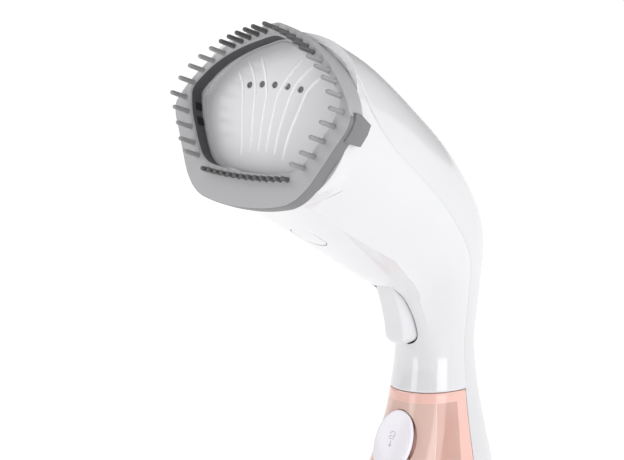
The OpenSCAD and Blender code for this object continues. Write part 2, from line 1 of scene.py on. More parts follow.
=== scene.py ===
"""Looks of a handheld garment steamer, built around its fixed frame of solids.

The steam face looks towards -Y, +Z is up, and the origin is the centre of the base.
Shapes are drawn in millimetres and turned to metres when a mesh is made.
"""

from __future__ import annotations

import logging
import math
from collections.abc import Callable, Sequence
from dataclasses import dataclass
from enum import Enum

import bmesh
import bpy
import numpy as np
from mathutils import Euler, Matrix, Vector

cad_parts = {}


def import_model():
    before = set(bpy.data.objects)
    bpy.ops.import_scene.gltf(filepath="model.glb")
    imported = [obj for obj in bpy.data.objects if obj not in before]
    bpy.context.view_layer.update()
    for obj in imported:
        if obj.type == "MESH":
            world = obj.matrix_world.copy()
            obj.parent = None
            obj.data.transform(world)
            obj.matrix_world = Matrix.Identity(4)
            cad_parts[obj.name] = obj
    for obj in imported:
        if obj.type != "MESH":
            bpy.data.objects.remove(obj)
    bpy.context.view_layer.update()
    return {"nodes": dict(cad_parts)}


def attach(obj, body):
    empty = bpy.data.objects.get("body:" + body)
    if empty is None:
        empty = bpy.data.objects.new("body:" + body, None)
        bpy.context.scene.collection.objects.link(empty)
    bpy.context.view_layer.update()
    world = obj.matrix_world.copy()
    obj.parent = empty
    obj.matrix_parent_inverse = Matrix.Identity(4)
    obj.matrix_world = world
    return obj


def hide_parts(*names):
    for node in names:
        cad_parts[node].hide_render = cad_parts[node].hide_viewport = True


MM = 0.001
LOG = logging.getLogger("steamer")
Grid = list[list[Vector]]
SlotRule = Callable[[int, int], int]
Pair = tuple[float, float]


# ------------------------------------------------------------------ finishes
def srgb(code: str) -> tuple[float, float, float, float]:
    """Turns an sRGB hex colour to linear values.

    Args:
        code: colour such as "#F0F0F2".

    Returns:
        Linear red, green, blue and an alpha of one.
    """
    parts = [int(code[i : i + 2], 16) / 255 for i in (1, 3, 5)]
    r, g, b = (p / 12.92 if p <= 0.04045 else ((p + 0.055) / 1.055) ** 2.4 for p in parts)
    return r, g, b, 1.0


def add_node(
    tree: bpy.types.NodeTree,
    kind: str,
    settings: dict | None = None,
    links: dict | None = None,
) -> bpy.types.Node:
    """Adds a node with its settings and links.

    Args:
        tree: tree that takes the node.
        kind: name of the node type.
        settings: socket names or numbers, or node properties, with their values.
        links: socket names or numbers, with the output that feeds each.

    Returns:
        The new node.
    """
    node = tree.nodes.new(kind)
    for key, value in (settings or {}).items():
        if isinstance(key, str) and hasattr(node, key):
            setattr(node, key, value)
    for key, value in (settings or {}).items():
        if isinstance(key, int) or not hasattr(node, key):
            node.inputs[key].default_value = value
    for key, output in (links or {}).items():
        tree.links.new(output, node.inputs[key])
    return node


class Surface(Enum):
    """How a surface was made: grain size in mm, grain depth in mm, stretch along Z."""

    POLISHED = (9.0, 0.010, 1.0)
    SATIN = (0.9, 0.006, 1.0)
    SPARKED = (0.7, 0.030, 1.0)
    BRUSHED = (0.5, 0.010, 0.06)
    CAST = (1.6, 0.080, 1.0)


@dataclass(frozen=True)
class Finish:
    """One finish: the real material's colours and gloss, and how its surface was made."""

    name: str
    colour: str
    shade: str
    surface: Surface
    roughness: float
    spread: float = 0.05
    ior: float = 1.5
    metallic: float = 0.0
    coat: float = 0.0
    transmission: float = 0.0
    subsurface: float = 0.0
    glow: float = 0.0

    def material(self) -> bpy.types.Material:
        """Gives the finish as a material, made once."""
        found = bpy.data.materials.get(self.name)
        return found or self.build()

    def build(self) -> bpy.types.Material:
        """Builds the nodes: slow colour drift, uneven gloss and the surface's own grain.

        Returns:
            The new material.
        """
        material = bpy.data.materials.new(self.name)
        material.use_nodes = True
        tree = material.node_tree
        tree.nodes.clear()
        grain, depth, stretch = self.surface.value
        place = add_node(tree, "ShaderNodeTexCoord")
        turned = add_node(
            tree,
            "ShaderNodeMapping",
            {"Scale": (1.0, 1.0, stretch)},
            {"Vector": place.outputs["Object"]},
        )
        drift = add_node(
            tree,
            "ShaderNodeTexNoise",
            {"Scale": 1 / (38 * MM), "Detail": 2.0, "Roughness": 0.5},
            {"Vector": place.outputs["Object"]},
        )
        fine = add_node(
            tree,
            "ShaderNodeTexNoise",
            {"Scale": 1 / (grain * MM), "Detail": 3.0, "Roughness": 0.55},
            {"Vector": turned.outputs["Vector"]},
        )
        tone = add_node(
            tree,
            "ShaderNodeMix",
            {"data_type": "RGBA", 6: srgb(self.colour), 7: srgb(self.shade)},
            {0: drift.outputs["Fac"]},
        )
        gloss = add_node(
            tree,
            "ShaderNodeMapRange",
            {
                "To Min": max(0.02, self.roughness - self.spread),
                "To Max": self.roughness + self.spread,
            },
            {"Value": fine.outputs["Fac"]},
        )
        bump = add_node(
            tree,
            "ShaderNodeBump",
            {"Strength": 0.35, "Distance": depth * MM},
            {"Height": fine.outputs["Fac"]},
        )
        shader = add_node(
            tree,
            "ShaderNodeBsdfPrincipled",
            {
                "IOR": self.ior,
                "Metallic": self.metallic,
                "Coat Weight": self.coat,
                "Coat Roughness": 0.06,
                "Transmission Weight": self.transmission,
                "Subsurface Weight": self.subsurface,
                "Subsurface Scale": 0.004,
                "Emission Color": srgb("#FFFFFF"),
                "Emission Strength": self.glow,
            },
            {
                "Base Color": tone.outputs[2],
                "Roughness": gloss.outputs["Result"],
                "Normal": bump.outputs["Normal"],
            },
        )
        add_node(
            tree,
            "ShaderNodeOutputMaterial",
            None,
            {"Surface": shader.outputs["BSDF"]},
        )
        return material


# Moulded ABS from a polished tool: clean white with a wet shine and long soft ripples
GLOSS_WHITE = Finish(
    "ABS_polished_white", "#DCDCDF", "#D9D9DC", Surface.POLISHED, 0.12, 0.03, coat=0.6,
)
# The same plastic a shade greyer, on the back half of the housing
SOFT_WHITE = Finish(
    "ABS_polished_soft_white", "#D8D8DA", "#D5D5D7", Surface.POLISHED, 0.2, 0.03, coat=0.3,
)
# Heat-resistant enamel baked on the steam plate: smooth, slightly milky, broad shine
PLATE_WHITE = Finish(
    "enamel_baked_white", "#DADADC", "#D5D5D7", Surface.SATIN, 0.32, 0.04, coat=0.3,
)
# The same enamel in a brighter white along the ribs: painted highlight on their crests
RIB_HIGHLIGHT_WHITE = Finish("enamel_rib_painted_highlight", "#F0F0F1", "#EDEDEE", Surface.SATIN, 0.2, 0.04, coat=0.5)
# Glass-filled nylon from a spark-eroded tool: dull mid grey with fine grain
NYLON_GREY = Finish("nylon_moulded_grey", "#B0B0B2", "#AAAAAC", Surface.SPARKED, 0.5, 0.08)
# The same nylon, darker: on the clip tabs, and as painted shade on the lower half of the frame's
# outer band
NYLON_CLIPS_AND_SHADE = Finish("nylon_clips_and_painted_shade_grey", "#7C7C7E", "#747476", Surface.SPARKED, 0.5, 0.08)
# Dark liner inside the frame's opening: nearly black, swallows light
NYLON_DARK = Finish("nylon_moulded_dark", "#525254", "#4A4A4C", Surface.SPARKED, 0.6, 0.08)
# Painted shadow in the liner's slots: black solids standing for their dark insides
SLOT_SHADOW_BLACK = Finish("slot_painted_shadow_black", "#060606", "#040404", Surface.SPARKED, 0.7, 0.08)
# Extruded nylon bristle, light: grey with a faint sheen along its length
BRISTLE_LIGHT = Finish("nylon_bristle_light", "#9C9C9D", "#929293", Surface.SATIN, 0.38, 0.06)
# Extruded nylon bristle, dark: charcoal grey with the same sheen
BRISTLE_DARK = Finish("nylon_bristle_dark", "#5C5C5D", "#525253", Surface.SATIN, 0.38, 0.06)
# Matt grey cups inside each steam hole: painted shade for the holes' dark insides
HOLE_SHADE_GREY = Finish("hole_painted_shade_grey", "#6E6E6F", "#646465", Surface.SATIN, 0.5, 0.06)
# Tinted SAN, thin tank wall: clear rose with a hard shine
ROSE_CLEAR = Finish(
    "SAN_tinted_clear", "#FBDACE", "#F9D5C8", Surface.POLISHED, 0.1, 0.03, ior=1.57,
    transmission=0.3,
)
# The same wall in front of the deeper side: a shade darker
ROSE_PANE = Finish(
    "SAN_tinted_pane", "#F0C4B8", "#ECBDB0", Surface.POLISHED, 0.1, 0.03, ior=1.57,
    transmission=0.3,
)
# Tinted SAN where the wall is thick: milky rose
ROSE_THICK = Finish(
    "SAN_tinted_thick", "#EFC4BA", "#ECBDB2", Surface.POLISHED, 0.14, 0.03, ior=1.57,
    subsurface=0.2,
)
# The tank's inside seen through the wall: softer, duller rose
ROSE_INNER = Finish("SAN_tinted_inner", "#FBE0D6", "#F8D8CC", Surface.SATIN, 0.4, 0.05, ior=1.57)
# The deeper part of the tank's inside: brown rose
ROSE_DEEP = Finish("SAN_tinted_deep", "#DDB2A6", "#D5A79A", Surface.SATIN, 0.45, 0.05, ior=1.57)
# Satin ABS of the latch: white with a cool cast
LATCH_WHITE = Finish(
    "ABS_satin_cool_white", "#EFECF2", "#EBE8EF", Surface.SATIN, 0.24, 0.04, coat=0.3,
)
# Pad-printed grey of the latch mark: flat
PRINT_GREY = Finish("print_pad_grey", "#8B8A90", "#848389", Surface.SATIN, 0.6, 0.05)
# Die-cast aluminium of the steam chamber: pale, pebbly
CAST_ALUMINIUM = Finish(
    "aluminium_cast", "#B9BBBE", "#A8AAAD", Surface.CAST, 0.42, 0.1, metallic=1.0,
)
# Drawn steel of pins, springs and screws: bright with fine lines
DRAWN_STEEL = Finish("steel_drawn", "#C4C5C8", "#B0B1B5", Surface.BRUSHED, 0.3, 0.08, metallic=1.0)
# Painted steel of the pump: black, half gloss
PUMP_PAINT = Finish(
    "steel_painted_black", "#2B2C30", "#242529", Surface.SATIN, 0.35, 0.06, coat=0.2,
)
# Platinum-cured silicone gasket: brick red, dull
SILICONE_RED = Finish("silicone_cured_red", "#A2352A", "#8E2C23", Surface.SATIN, 0.55, 0.05)
# Extruded silicone tube: milky, soft shine
SILICONE_CLEAR = Finish(
    "silicone_extruded_milky", "#DCDDDD", "#D2D3D3", Surface.SATIN, 0.35, 0.05,
    transmission=0.2,
)
# Uncoloured nylon of inner mouldings: ivory, slightly waxy
NYLON_NATURAL = Finish("nylon_moulded_natural", "#DEDBD0", "#D4D1C5", Surface.SPARKED, 0.45, 0.06)
# Nitrile rubber of foot and seal: charcoal, chalky
RUBBER_DARK = Finish("rubber_nitrile_dark", "#3A3A3C", "#313133", Surface.SPARKED, 0.75, 0.08)
# Solder-masked glass epoxy board: bottle green
BOARD_GREEN = Finish("epoxy_board_green", "#1F5A38", "#184A2D", Surface.SATIN, 0.3, 0.06, coat=0.2)
# Red acetal plunger: clean and waxy
ACETAL_RED = Finish("acetal_moulded_red", "#B03325", "#9E2C20", Surface.SATIN, 0.35, 0.05)
# Clear polycarbonate lens: faint blue
LENS_CLEAR = Finish(
    "polycarbonate_lens", "#CFE6F2", "#C6DFEC", Surface.POLISHED, 0.08, 0.02, ior=1.58,
    transmission=0.6,
)

CARRIED: dict[str, Finish] = {
    "spine_wall": SOFT_WHITE,
    "spine_rail": SOFT_WHITE,
    "head_bezel": GLOSS_WHITE,
    "steam_diffuser": NYLON_NATURAL,
    "steam_chamber": CAST_ALUMINIUM,
    "chamber_cap": CAST_ALUMINIUM,
    "steam_duct": NYLON_NATURAL,
    "heating_element": DRAWN_STEEL,
    "chamber_cover": CAST_ALUMINIUM,
    "thermostat": NYLON_NATURAL,
    "thermal_fuse": NYLON_NATURAL,
    "steam_gasket": SILICONE_RED,
    "head_frame": NYLON_GREY,
    "pump": PUMP_PAINT,
    "pump_bracket": NYLON_DARK,
    "feed_tube": SILICONE_CLEAR,
    "supply_tube": SILICONE_CLEAR,
    "circuit_board": BOARD_GREEN,
    "microswitch": NYLON_DARK,
    "switch_bracket": NYLON_DARK,
    "switch_plunger": ACETAL_RED,
    "trigger_pin": DRAWN_STEEL,
    "trigger_cradle": NYLON_NATURAL,
    "trigger_spring": DRAWN_STEEL,
    "tank_dock": NYLON_NATURAL,
    "dock_seal": RUBBER_DARK,
    "base_pad": RUBBER_DARK,
    "housing_screws": DRAWN_STEEL,
    "tank_spigot": NYLON_NATURAL,
    "tank_foot": ROSE_INNER,
    "suction_tube": SILICONE_CLEAR,
    "tank_filter": NYLON_DARK,
    "latch_pin": DRAWN_STEEL,
    "latch_spring": DRAWN_STEEL,
}


# ------------------------------------------------------------------ mesh tools
class Sketch:
    """Collects the points and faces of one piece, in millimetres."""

    def __init__(self) -> None:
        """Starts empty."""
        self.points: list[Vector] = []
        self.faces: list[tuple[int, ...]] = []
        self.slots: list[int] = []

    def face(self, corners: Sequence[int], slot: int = 0) -> None:
        """Adds one face."""
        self.faces.append(tuple(corners))
        self.slots.append(slot)

    def sheet(
        self, rows: Grid, wrap: bool = False, slot_of: SlotRule | None = None
    ) -> list[list[int]]:
        """Adds a sheet of quads through rows of points.

        Args:
            rows: rows of equal length.
            wrap: whether each row closes on itself.
            slot_of: material slot of the quad at a row and column.

        Returns:
            The numbers of the points, in the same rows.
        """
        start = len(self.points)
        wide = len(rows[0])
        ids = [[start + i * wide + j for j in range(wide)] for i in range(len(rows))]
        for row in rows:
            self.points.extend(row)
        for i in range(len(rows) - 1):
            for j in range(wide if wrap else wide - 1):
                k = (j + 1) % wide
                quad = (ids[i][j], ids[i][k], ids[i + 1][k], ids[i + 1][j])
                self.face(quad, slot_of(i, j) if slot_of else 0)
        return ids

    def tube(self, rings: Grid) -> Sketch:
        """Adds a closed solid through closed rings, with a flat cap at each end.

        Args:
            rings: rings of equal length.

        Returns:
            The sketch.
        """
        ids = self.sheet(rings, True)
        self.face(list(reversed(ids[0])))
        self.face(ids[-1])
        return self

    def ring(self, rings: Grid, slot_of: SlotRule | None = None) -> Sketch:
        """Adds a closed band: closed rings whose last joins the first.

        Args:
            rings: rings of equal length.
            slot_of: material slot of the quad at a row and column.

        Returns:
            The sketch.
        """
        ids = self.sheet([*rings, rings[0]], True, slot_of)
        count, wide = len(rings), len(rings[0])
        first, last = ids[0], ids[count]
        swap = dict(zip(last, first, strict=True))
        self.faces = [tuple(swap.get(i, i) for i in f) for f in self.faces]
        del self.points[-wide:]
        return self

    def wall(self, outer: Grid, inner: Grid, slot_of: SlotRule | None = None) -> Sketch:
        """Adds a closed wall between two sheets of equal size.

        Args:
            outer: the outer sheet's rows.
            inner: the inner sheet's rows.
            slot_of: material slot of the outer quad at a row and column.

        Returns:
            The sketch.
        """
        a = self.sheet(outer, False, slot_of)
        b = self.sheet(inner, False, slot_of)
        rows, cols = len(outer), len(outer[0])
        edge = [(i, 0) for i in range(rows)]
        edge += [(rows - 1, j) for j in range(1, cols)]
        edge += [(i, cols - 1) for i in range(rows - 2, -1, -1)]
        edge += [(0, j) for j in range(cols - 2, 0, -1)]
        for (i, j), (k, m) in zip(edge, edge[1:] + edge[:1], strict=True):
            slot = slot_of(min(i, rows - 2), min(j, cols - 2)) if slot_of else 0
            self.face((a[i][j], a[k][m], b[k][m], b[i][j]), slot)
        return self

    def make(self, name: str, *finishes: Finish, sharp: float = 38.0) -> bpy.types.Object:
        """Turns the sketch into a mesh object, in metres.

        Args:
            name: name of the piece.
            finishes: finishes of the material slots, in order.
            sharp: angle above which an edge stays sharp, degrees.

        Returns:
            The new object, linked to the scene.
        """
        mesh = bpy.data.meshes.new(name)
        mesh.from_pydata([p * MM for p in self.points], [], self.faces)
        mesh.polygons.foreach_set("material_index", self.slots)
        for finish in finishes:
            mesh.materials.append(finish.material())
        form = bmesh.new()
        form.from_mesh(mesh)
        bmesh.ops.remove_doubles(form, verts=form.verts, dist=1e-7)
        bmesh.ops.recalc_face_normals(form, faces=form.faces)
        form.to_mesh(mesh)
        form.free()
        piece = bpy.data.objects.new(name, mesh)
        bpy.context.scene.collection.objects.link(piece)
        smooth(piece, sharp)
        return piece


def around(count: int) -> np.ndarray:
    """Gives the angles of a full turn, in radians."""
    return np.linspace(0, 2 * math.pi, count, endpoint=False)


def turned(place: Matrix, profile: Sequence[Pair], count: int = 48) -> Grid:
    """Gives the rings of a turned shape.

    Args:
        place: its place, with the axis along Z.
        profile: radius and height of each ring, in mm.
        count: number of points round the axis.

    Returns:
        The rings, in mm.
    """
    return [
        [place @ Vector((r * math.cos(a), r * math.sin(a), z)) for a in around(count)]
        for r, z in profile
    ]


def smooth(piece: bpy.types.Object, sharp: float = 38.0) -> None:
    """Shades a piece smooth, with sharp edges kept above an angle in degrees."""
    piece.data.shade_smooth()
    piece.data.set_sharp_from_angle(angle=math.radians(sharp))


def settle(piece: bpy.types.Object, sharp: float = 38.0) -> bpy.types.Object:
    """Turns a piece's modifiers into plain mesh.

    Args:
        piece: object with modifiers.
        sharp: angle above which an edge stays sharp, degrees.

    Returns:
        The same object.
    """
    graph = bpy.context.evaluated_depsgraph_get()
    mesh = bpy.data.meshes.new_from_object(piece.evaluated_get(graph), depsgraph=graph)
    piece.modifiers.clear()
    old, piece.data = piece.data, mesh
    bpy.data.meshes.remove(old)
    mesh.name = piece.name
    smooth(piece, sharp)
    return piece


def carve(piece: bpy.types.Object, *cutters: bpy.types.Object) -> bpy.types.Object:
    """Cuts other solids out of a piece and removes them.

    Args:
        piece: piece to cut.
        cutters: closed solids.

    Returns:
        The piece, as plain mesh.
    """
    for cutter in cutters:
        cut = piece.modifiers.new("cut", "BOOLEAN")
        cut.operation = "DIFFERENCE"
        cut.solver = "EXACT"
        cut.object = cutter
    settle(piece)
    for cutter in cutters:
        bpy.data.objects.remove(cutter)
    return piece


def soften(piece: bpy.types.Object, width: float, steps: int = 3) -> bpy.types.Object:
    """Rounds a piece's sharp edges.

    Args:
        piece: piece with sharp edges.
        width: width of the rounding, mm.
        steps: number of faces across it.

    Returns:
        The piece, as plain mesh.
    """
    bevel = piece.modifiers.new("round", "BEVEL")
    bevel.width = width * MM
    bevel.segments = steps
    bevel.limit_method = "ANGLE"
    bevel.angle_limit = math.radians(30)
    return settle(piece, 50)


def ease(x: float, low: float, high: float) -> float:
    """Gives a smooth step from 0 at low to 1 at high."""
    k = min(1.0, max(0.0, (x - low) / (high - low)))
    return k * k * (3 - 2 * k)


def follow(table: Sequence[Pair], x: float) -> float:
    """Reads a value off a table of pairs, straight between them."""
    return float(np.interp(x, [p[0] for p in table], [p[1] for p in table]))


def smooth_loop(half: Sequence[Pair], count: int) -> np.ndarray:
    """Rounds a symmetric outline and samples it at equal angles.

    Args:
        half: points from the top middle down the +X side to the bottom middle.
        count: number of angles round the whole outline.

    Returns:
        Distance from the middle at each angle, counted from +X towards the top.
    """
    full = np.array([*half, *[(-x, v) for x, v in reversed(half[1:-1])]])
    ahead, behind = np.roll(full, -1, 0), np.roll(full, 1, 0)
    after = np.linalg.norm(ahead - full, axis=1)[:, None]
    before = np.linalg.norm(full - behind, axis=1)[:, None]
    lean = ((ahead - full) / after * before + (full - behind) / before * after) / (after + before)
    k = np.linspace(0, 1, 24, endpoint=False)[None, :, None]
    p, q = full[:, None], ahead[:, None]
    m, n = (lean * after)[:, None], (np.roll(lean, -1, 0) * after)[:, None]
    dense = (
        (2 * k**3 - 3 * k**2 + 1) * p
        + (k**3 - 2 * k**2 + k) * m
        + (3 * k**2 - 2 * k**3) * q
        + (k**3 - k**2) * n
    ).reshape(-1, 2)
    angle = np.arctan2(dense[:, 1], dense[:, 0])
    order = np.argsort(angle)
    at = np.linspace(-math.pi, math.pi, count, endpoint=False)
    radius = np.hypot(dense[:, 0], dense[:, 1])
    return np.interp(at, angle[order], radius[order], period=2 * math.pi)


class FormTree:
    """A tree of geometry nodes under construction."""

    def __init__(self, name: str) -> None:
        """Starts the tree with a geometry coming in and one going out.

        Args:
            name: name of the tree.
        """
        self.tree = bpy.data.node_groups.new(name, "GeometryNodeTree")
        sockets = self.tree.interface
        sockets.new_socket("Geometry", in_out="INPUT", socket_type="NodeSocketGeometry")
        sockets.new_socket("Material", in_out="INPUT", socket_type="NodeSocketMaterial")
        sockets.new_socket("Geometry", in_out="OUTPUT", socket_type="NodeSocketGeometry")
        self.given = self.tree.nodes.new("NodeGroupInput")
        self.result = self.tree.nodes.new("NodeGroupOutput")

    def size(self, name: str, value: float) -> bpy.types.NodeSocket:
        """Adds a named number that the tree takes in."""
        socket = self.tree.interface.new_socket(
            name, in_out="INPUT", socket_type="NodeSocketFloat"
        )
        socket.default_value = value
        return self.given.outputs[name]

    def add(
        self, kind: str, settings: dict | None = None, links: dict | None = None
    ) -> bpy.types.Node:
        """Adds a node to the tree."""
        return add_node(self.tree, kind, settings, links)

    def math(self, work: str, first: object, second: object) -> bpy.types.NodeSocket:
        """Adds a sum of two numbers or outputs.

        Args:
            work: name of the operation.
            first: number or output.
            second: number or output.

        Returns:
            The result's output.
        """
        both = list(enumerate((first, second)))
        numbers = {i: v for i, v in both if isinstance(v, (int, float))}
        outputs = {i: v for i, v in both if not isinstance(v, (int, float))}
        return self.add("ShaderNodeMath", {"operation": work, **numbers}, outputs).outputs[0]

    def rod(
        self, line: bpy.types.NodeSocket, radius: bpy.types.NodeSocket, sides: int
    ) -> bpy.types.NodeSocket:
        """Adds a round rod along a line.

        Args:
            line: curve to follow.
            radius: radius along it, in metres.
            sides: number of sides.

        Returns:
            The rod's output.
        """
        ring = self.add("GeometryNodeCurvePrimitiveCircle", {"Resolution": sides, "Radius": 1.0})
        links = {"Curve": line, "Profile Curve": ring.outputs[0], "Scale": radius}
        return self.add("GeometryNodeCurveToMesh", {"Fill Caps": True}, links).outputs[0]

    def close(self, shape: bpy.types.NodeSocket) -> None:
        """Ends the tree: real meshes, smooth faces, and the finish.

        Args:
            shape: output that holds the finished shape.
        """
        real = self.add("GeometryNodeRealizeInstances", None, {"Geometry": shape})
        soft = self.add("GeometryNodeSetShadeSmooth", None, {"Geometry": real.outputs[0]})
        dressed = self.add(
            "GeometryNodeSetMaterial",
            None,
            {"Geometry": soft.outputs[0], "Material": self.given.outputs["Material"]},
        )
        self.tree.links.new(dressed.outputs[0], self.result.inputs[0])

    def bake(
        self, source: bpy.types.Object, name: str, finish: Finish, sizes: dict[str, float]
    ) -> bpy.types.Object:
        """Runs the tree on an object and keeps the result as plain mesh.

        Args:
            source: object that goes in, renamed to the piece.
            name: name of the piece.
            finish: finish of the piece.
            sizes: values of the tree's named numbers.

        Returns:
            The finished piece.
        """
        form = source.modifiers.new("form", "NODES")
        form.node_group = self.tree
        values = {**sizes, "Material": finish.material()}
        for item in self.tree.interface.items_tree:
            if item.in_out == "INPUT" and item.name in values:
                form[item.identifier] = values[item.name]
        source.name = name
        source.update_tag()
        bpy.context.view_layer.update()
        return settle(source)


def marks(name: str, points: Sequence[Vector], lines: Sequence[Pair] = ()) -> bpy.types.Object:
    """Makes an object of loose points, or of lines through them, for a node tree.

    Args:
        name: name of the object.
        points: points in mm.
        lines: pairs of point numbers.

    Returns:
        The new object.
    """
    mesh = bpy.data.meshes.new(name)
    mesh.from_pydata([p * MM for p in points], list(lines), [])
    piece = bpy.data.objects.new(name, mesh)
    bpy.context.scene.collection.objects.link(piece)
    return piece


# ------------------------------------------------------------------ shared forms
@dataclass(frozen=True)
class SteamFace:
    """The tilted steam face: x across, v up the face, and out along the steam."""

    reach: float = 135.0
    height: float = 260.0
    tilt: float = math.radians(18.3)

    def at(self, x: float, v: float, out: float = 0.0) -> Vector:
        """Gives a point of the face in the object's own axes, in mm."""
        c, s = math.cos(self.tilt), math.sin(self.tilt)
        return Vector((x, -self.reach + v * s - out * c, self.height + v * c + out * s))

    def turn(self) -> Euler:
        """Gives the turn that points +Z out along the steam."""
        return Euler((math.pi / 2 - self.tilt, 0, 0))


@dataclass(frozen=True)
class BodyForm:
    """The rule of the head and handle: superellipse sections along a bent line.

    Each row: y, z, heading in degrees, half width, lower or front depth,
    upper or back depth, roundness below, roundness above.
    """

    rows: tuple[tuple[float, ...], ...] = (
        (-127.5, 257.6, -18.3, 47, 44.5, 36, 2.6, 2.6),
        (-103.95, 245.04, -25, 45, 43, 37.5, 2.5, 2.5),
        (-71.96, 226.01, -32, 40, 42, 37, 2.4, 2.4),
        (-37.94, 203.02, -40, 34, 40, 36, 2.3, 2.35),
        (-9.05, 175.96, -58, 27, 35, 32.5, 2.1, 2.3),
        (0, 150, -82, 20.5, 29.5, 24, 2, 2.3),
        (0, 128, -90, 18.5, 23.3, 21.3, 2, 2.3),
        (0, 105, -90, 20, 25.8, 23.7, 2.05, 2.3),
        (0, 86.1, -90, 22.5, 31.5, 27.2, 2.1, 2.4),
        (0, 60.06, -90, 27, 44.2, 32.5, 2.2, 2.5),
        (0, 30.03, -90, 32, 50.4, 38, 2.35, 2.6),
        (0, 8, -90, 35.5, 52, 41.5, 2.45, 2.7),
        (0, 0, -90, 34.3, 50.8, 40.3, 2.45, 2.7),
    )
    scoop: float = 2.2
    crease: tuple[Pair, ...] = (
        (0.0, 296), (0.73, 297), (1.73, 300), (2.23, 302),
        (2.84, 306), (3.54, 303), (4.48, 300), (5.54, 304),
    )
    seam: int = 7
    last: int = 12

    def station(self, t: float) -> list[float]:
        """Gives the section's values at t, on a smooth curve through the rows.

        Args:
            t: place along the body, in rows.

        Returns:
            The eight values of a row.
        """
        i = max(0, min(int(math.floor(t)), self.last - 1))
        k = t - i
        b, c = np.array(self.rows[i]), np.array(self.rows[i + 1])
        a = np.array(self.rows[i - 1]) if i > 0 else 2 * b - c
        d = np.array(self.rows[i + 2]) if i + 2 <= self.last else 2 * c - b
        return list(
            0.5 * (2 * b + (c - a) * k + (2 * a - 5 * b + 4 * c - d) * k * k
                   + (3 * b - a - 3 * c + d) * k**3)
        )

    def crease_at(self, t: float) -> float:
        """Gives the angle of the crease line at t, degrees."""
        return follow(self.crease, t)

    def scoop_at(self, t: float, w: float) -> float:
        """Gives how far the side is hollowed: steep at the crease, then fading.

        Args:
            t: place along the body, in rows.
            w: angle round the section, degrees.

        Returns:
            The depth, in mm.
        """
        m = w if w > 270 else 540 - w
        start = self.crease_at(t)
        v = (m - start) / (358 - start)
        if not 0 < v < 1:
            return 0.0
        peak = 0.3
        if v < peak:
            rise = 1 - (1 - v / peak) ** 2
        else:
            rise = math.cos(math.pi / 2 * (v - peak) / (1 - peak)) ** 2
        return self.scoop * rise * ease(t, 0.05, 0.6) * (1 - ease(t, 4.3, 6.2))

    def at(self, t: float, w: float, inset: float = 0.0) -> Vector:
        """Gives a point of the section at t.

        Args:
            t: place along the body, in rows.
            w: angle round the section: 0 the +X side, 90 back, 270 front.
            inset: depth below the skin, in mm.

        Returns:
            The point, in mm.
        """
        s = self.station(t)
        turn = math.radians(w)
        c, q = math.cos(turn), math.sin(turn)
        power = 2 / (s[6] if q < 0 else s[7])
        cut = inset + self.scoop_at(t, w)
        x = (s[3] - cut) * math.copysign(abs(c) ** power, c)
        r = ((s[4] if q < 0 else s[5]) - cut) * math.copysign(abs(q) ** power, q)
        lean = math.radians(s[2])
        return Vector((x, s[0] - r * math.sin(lean), s[1] + r * math.cos(lean)))

    def t_at(self, z: float) -> float:
        """Gives t at a height on the straight handle."""
        table = [(self.rows[i][1], float(i)) for i in range(self.last, self.seam - 2, -1)]
        return follow(table, z)

    def seam_z(self, y: float) -> float:
        """Gives the height of the seam above the tank, which rises to the front."""
        return 104.6 - 0.025 * y


FACE = SteamFace()
BODY = BodyForm()

# Outlines on the steam face, from the top middle down the +X side to the bottom middle
INNER: tuple[Pair, ...] = (
    (0, 31.8), (10, 29), (20, 24.8), (30, 18.9), (38, 11.6), (43.2, 3.4), (42.6, 0.4), (40.5, -6),
    (36.8, -13), (33, -19.6), (28.5, -25.6), (24.5, -28.2), (18, -29.6), (10, -30.5), (0, -30.8),
)
OUTER: tuple[Pair, ...] = (
    (0, 37.8), (3, 37.3), (14, 33.4), (28, 25.3), (40, 14.3), (49.6, 1), (51.2, -2.6),
    (50.6, -6.5), (46.3, -15), (41, -25), (35, -35.2), (30, -40.6), (25, -43.6), (19, -45.2),
    (10, -46.6), (0, -47),
)


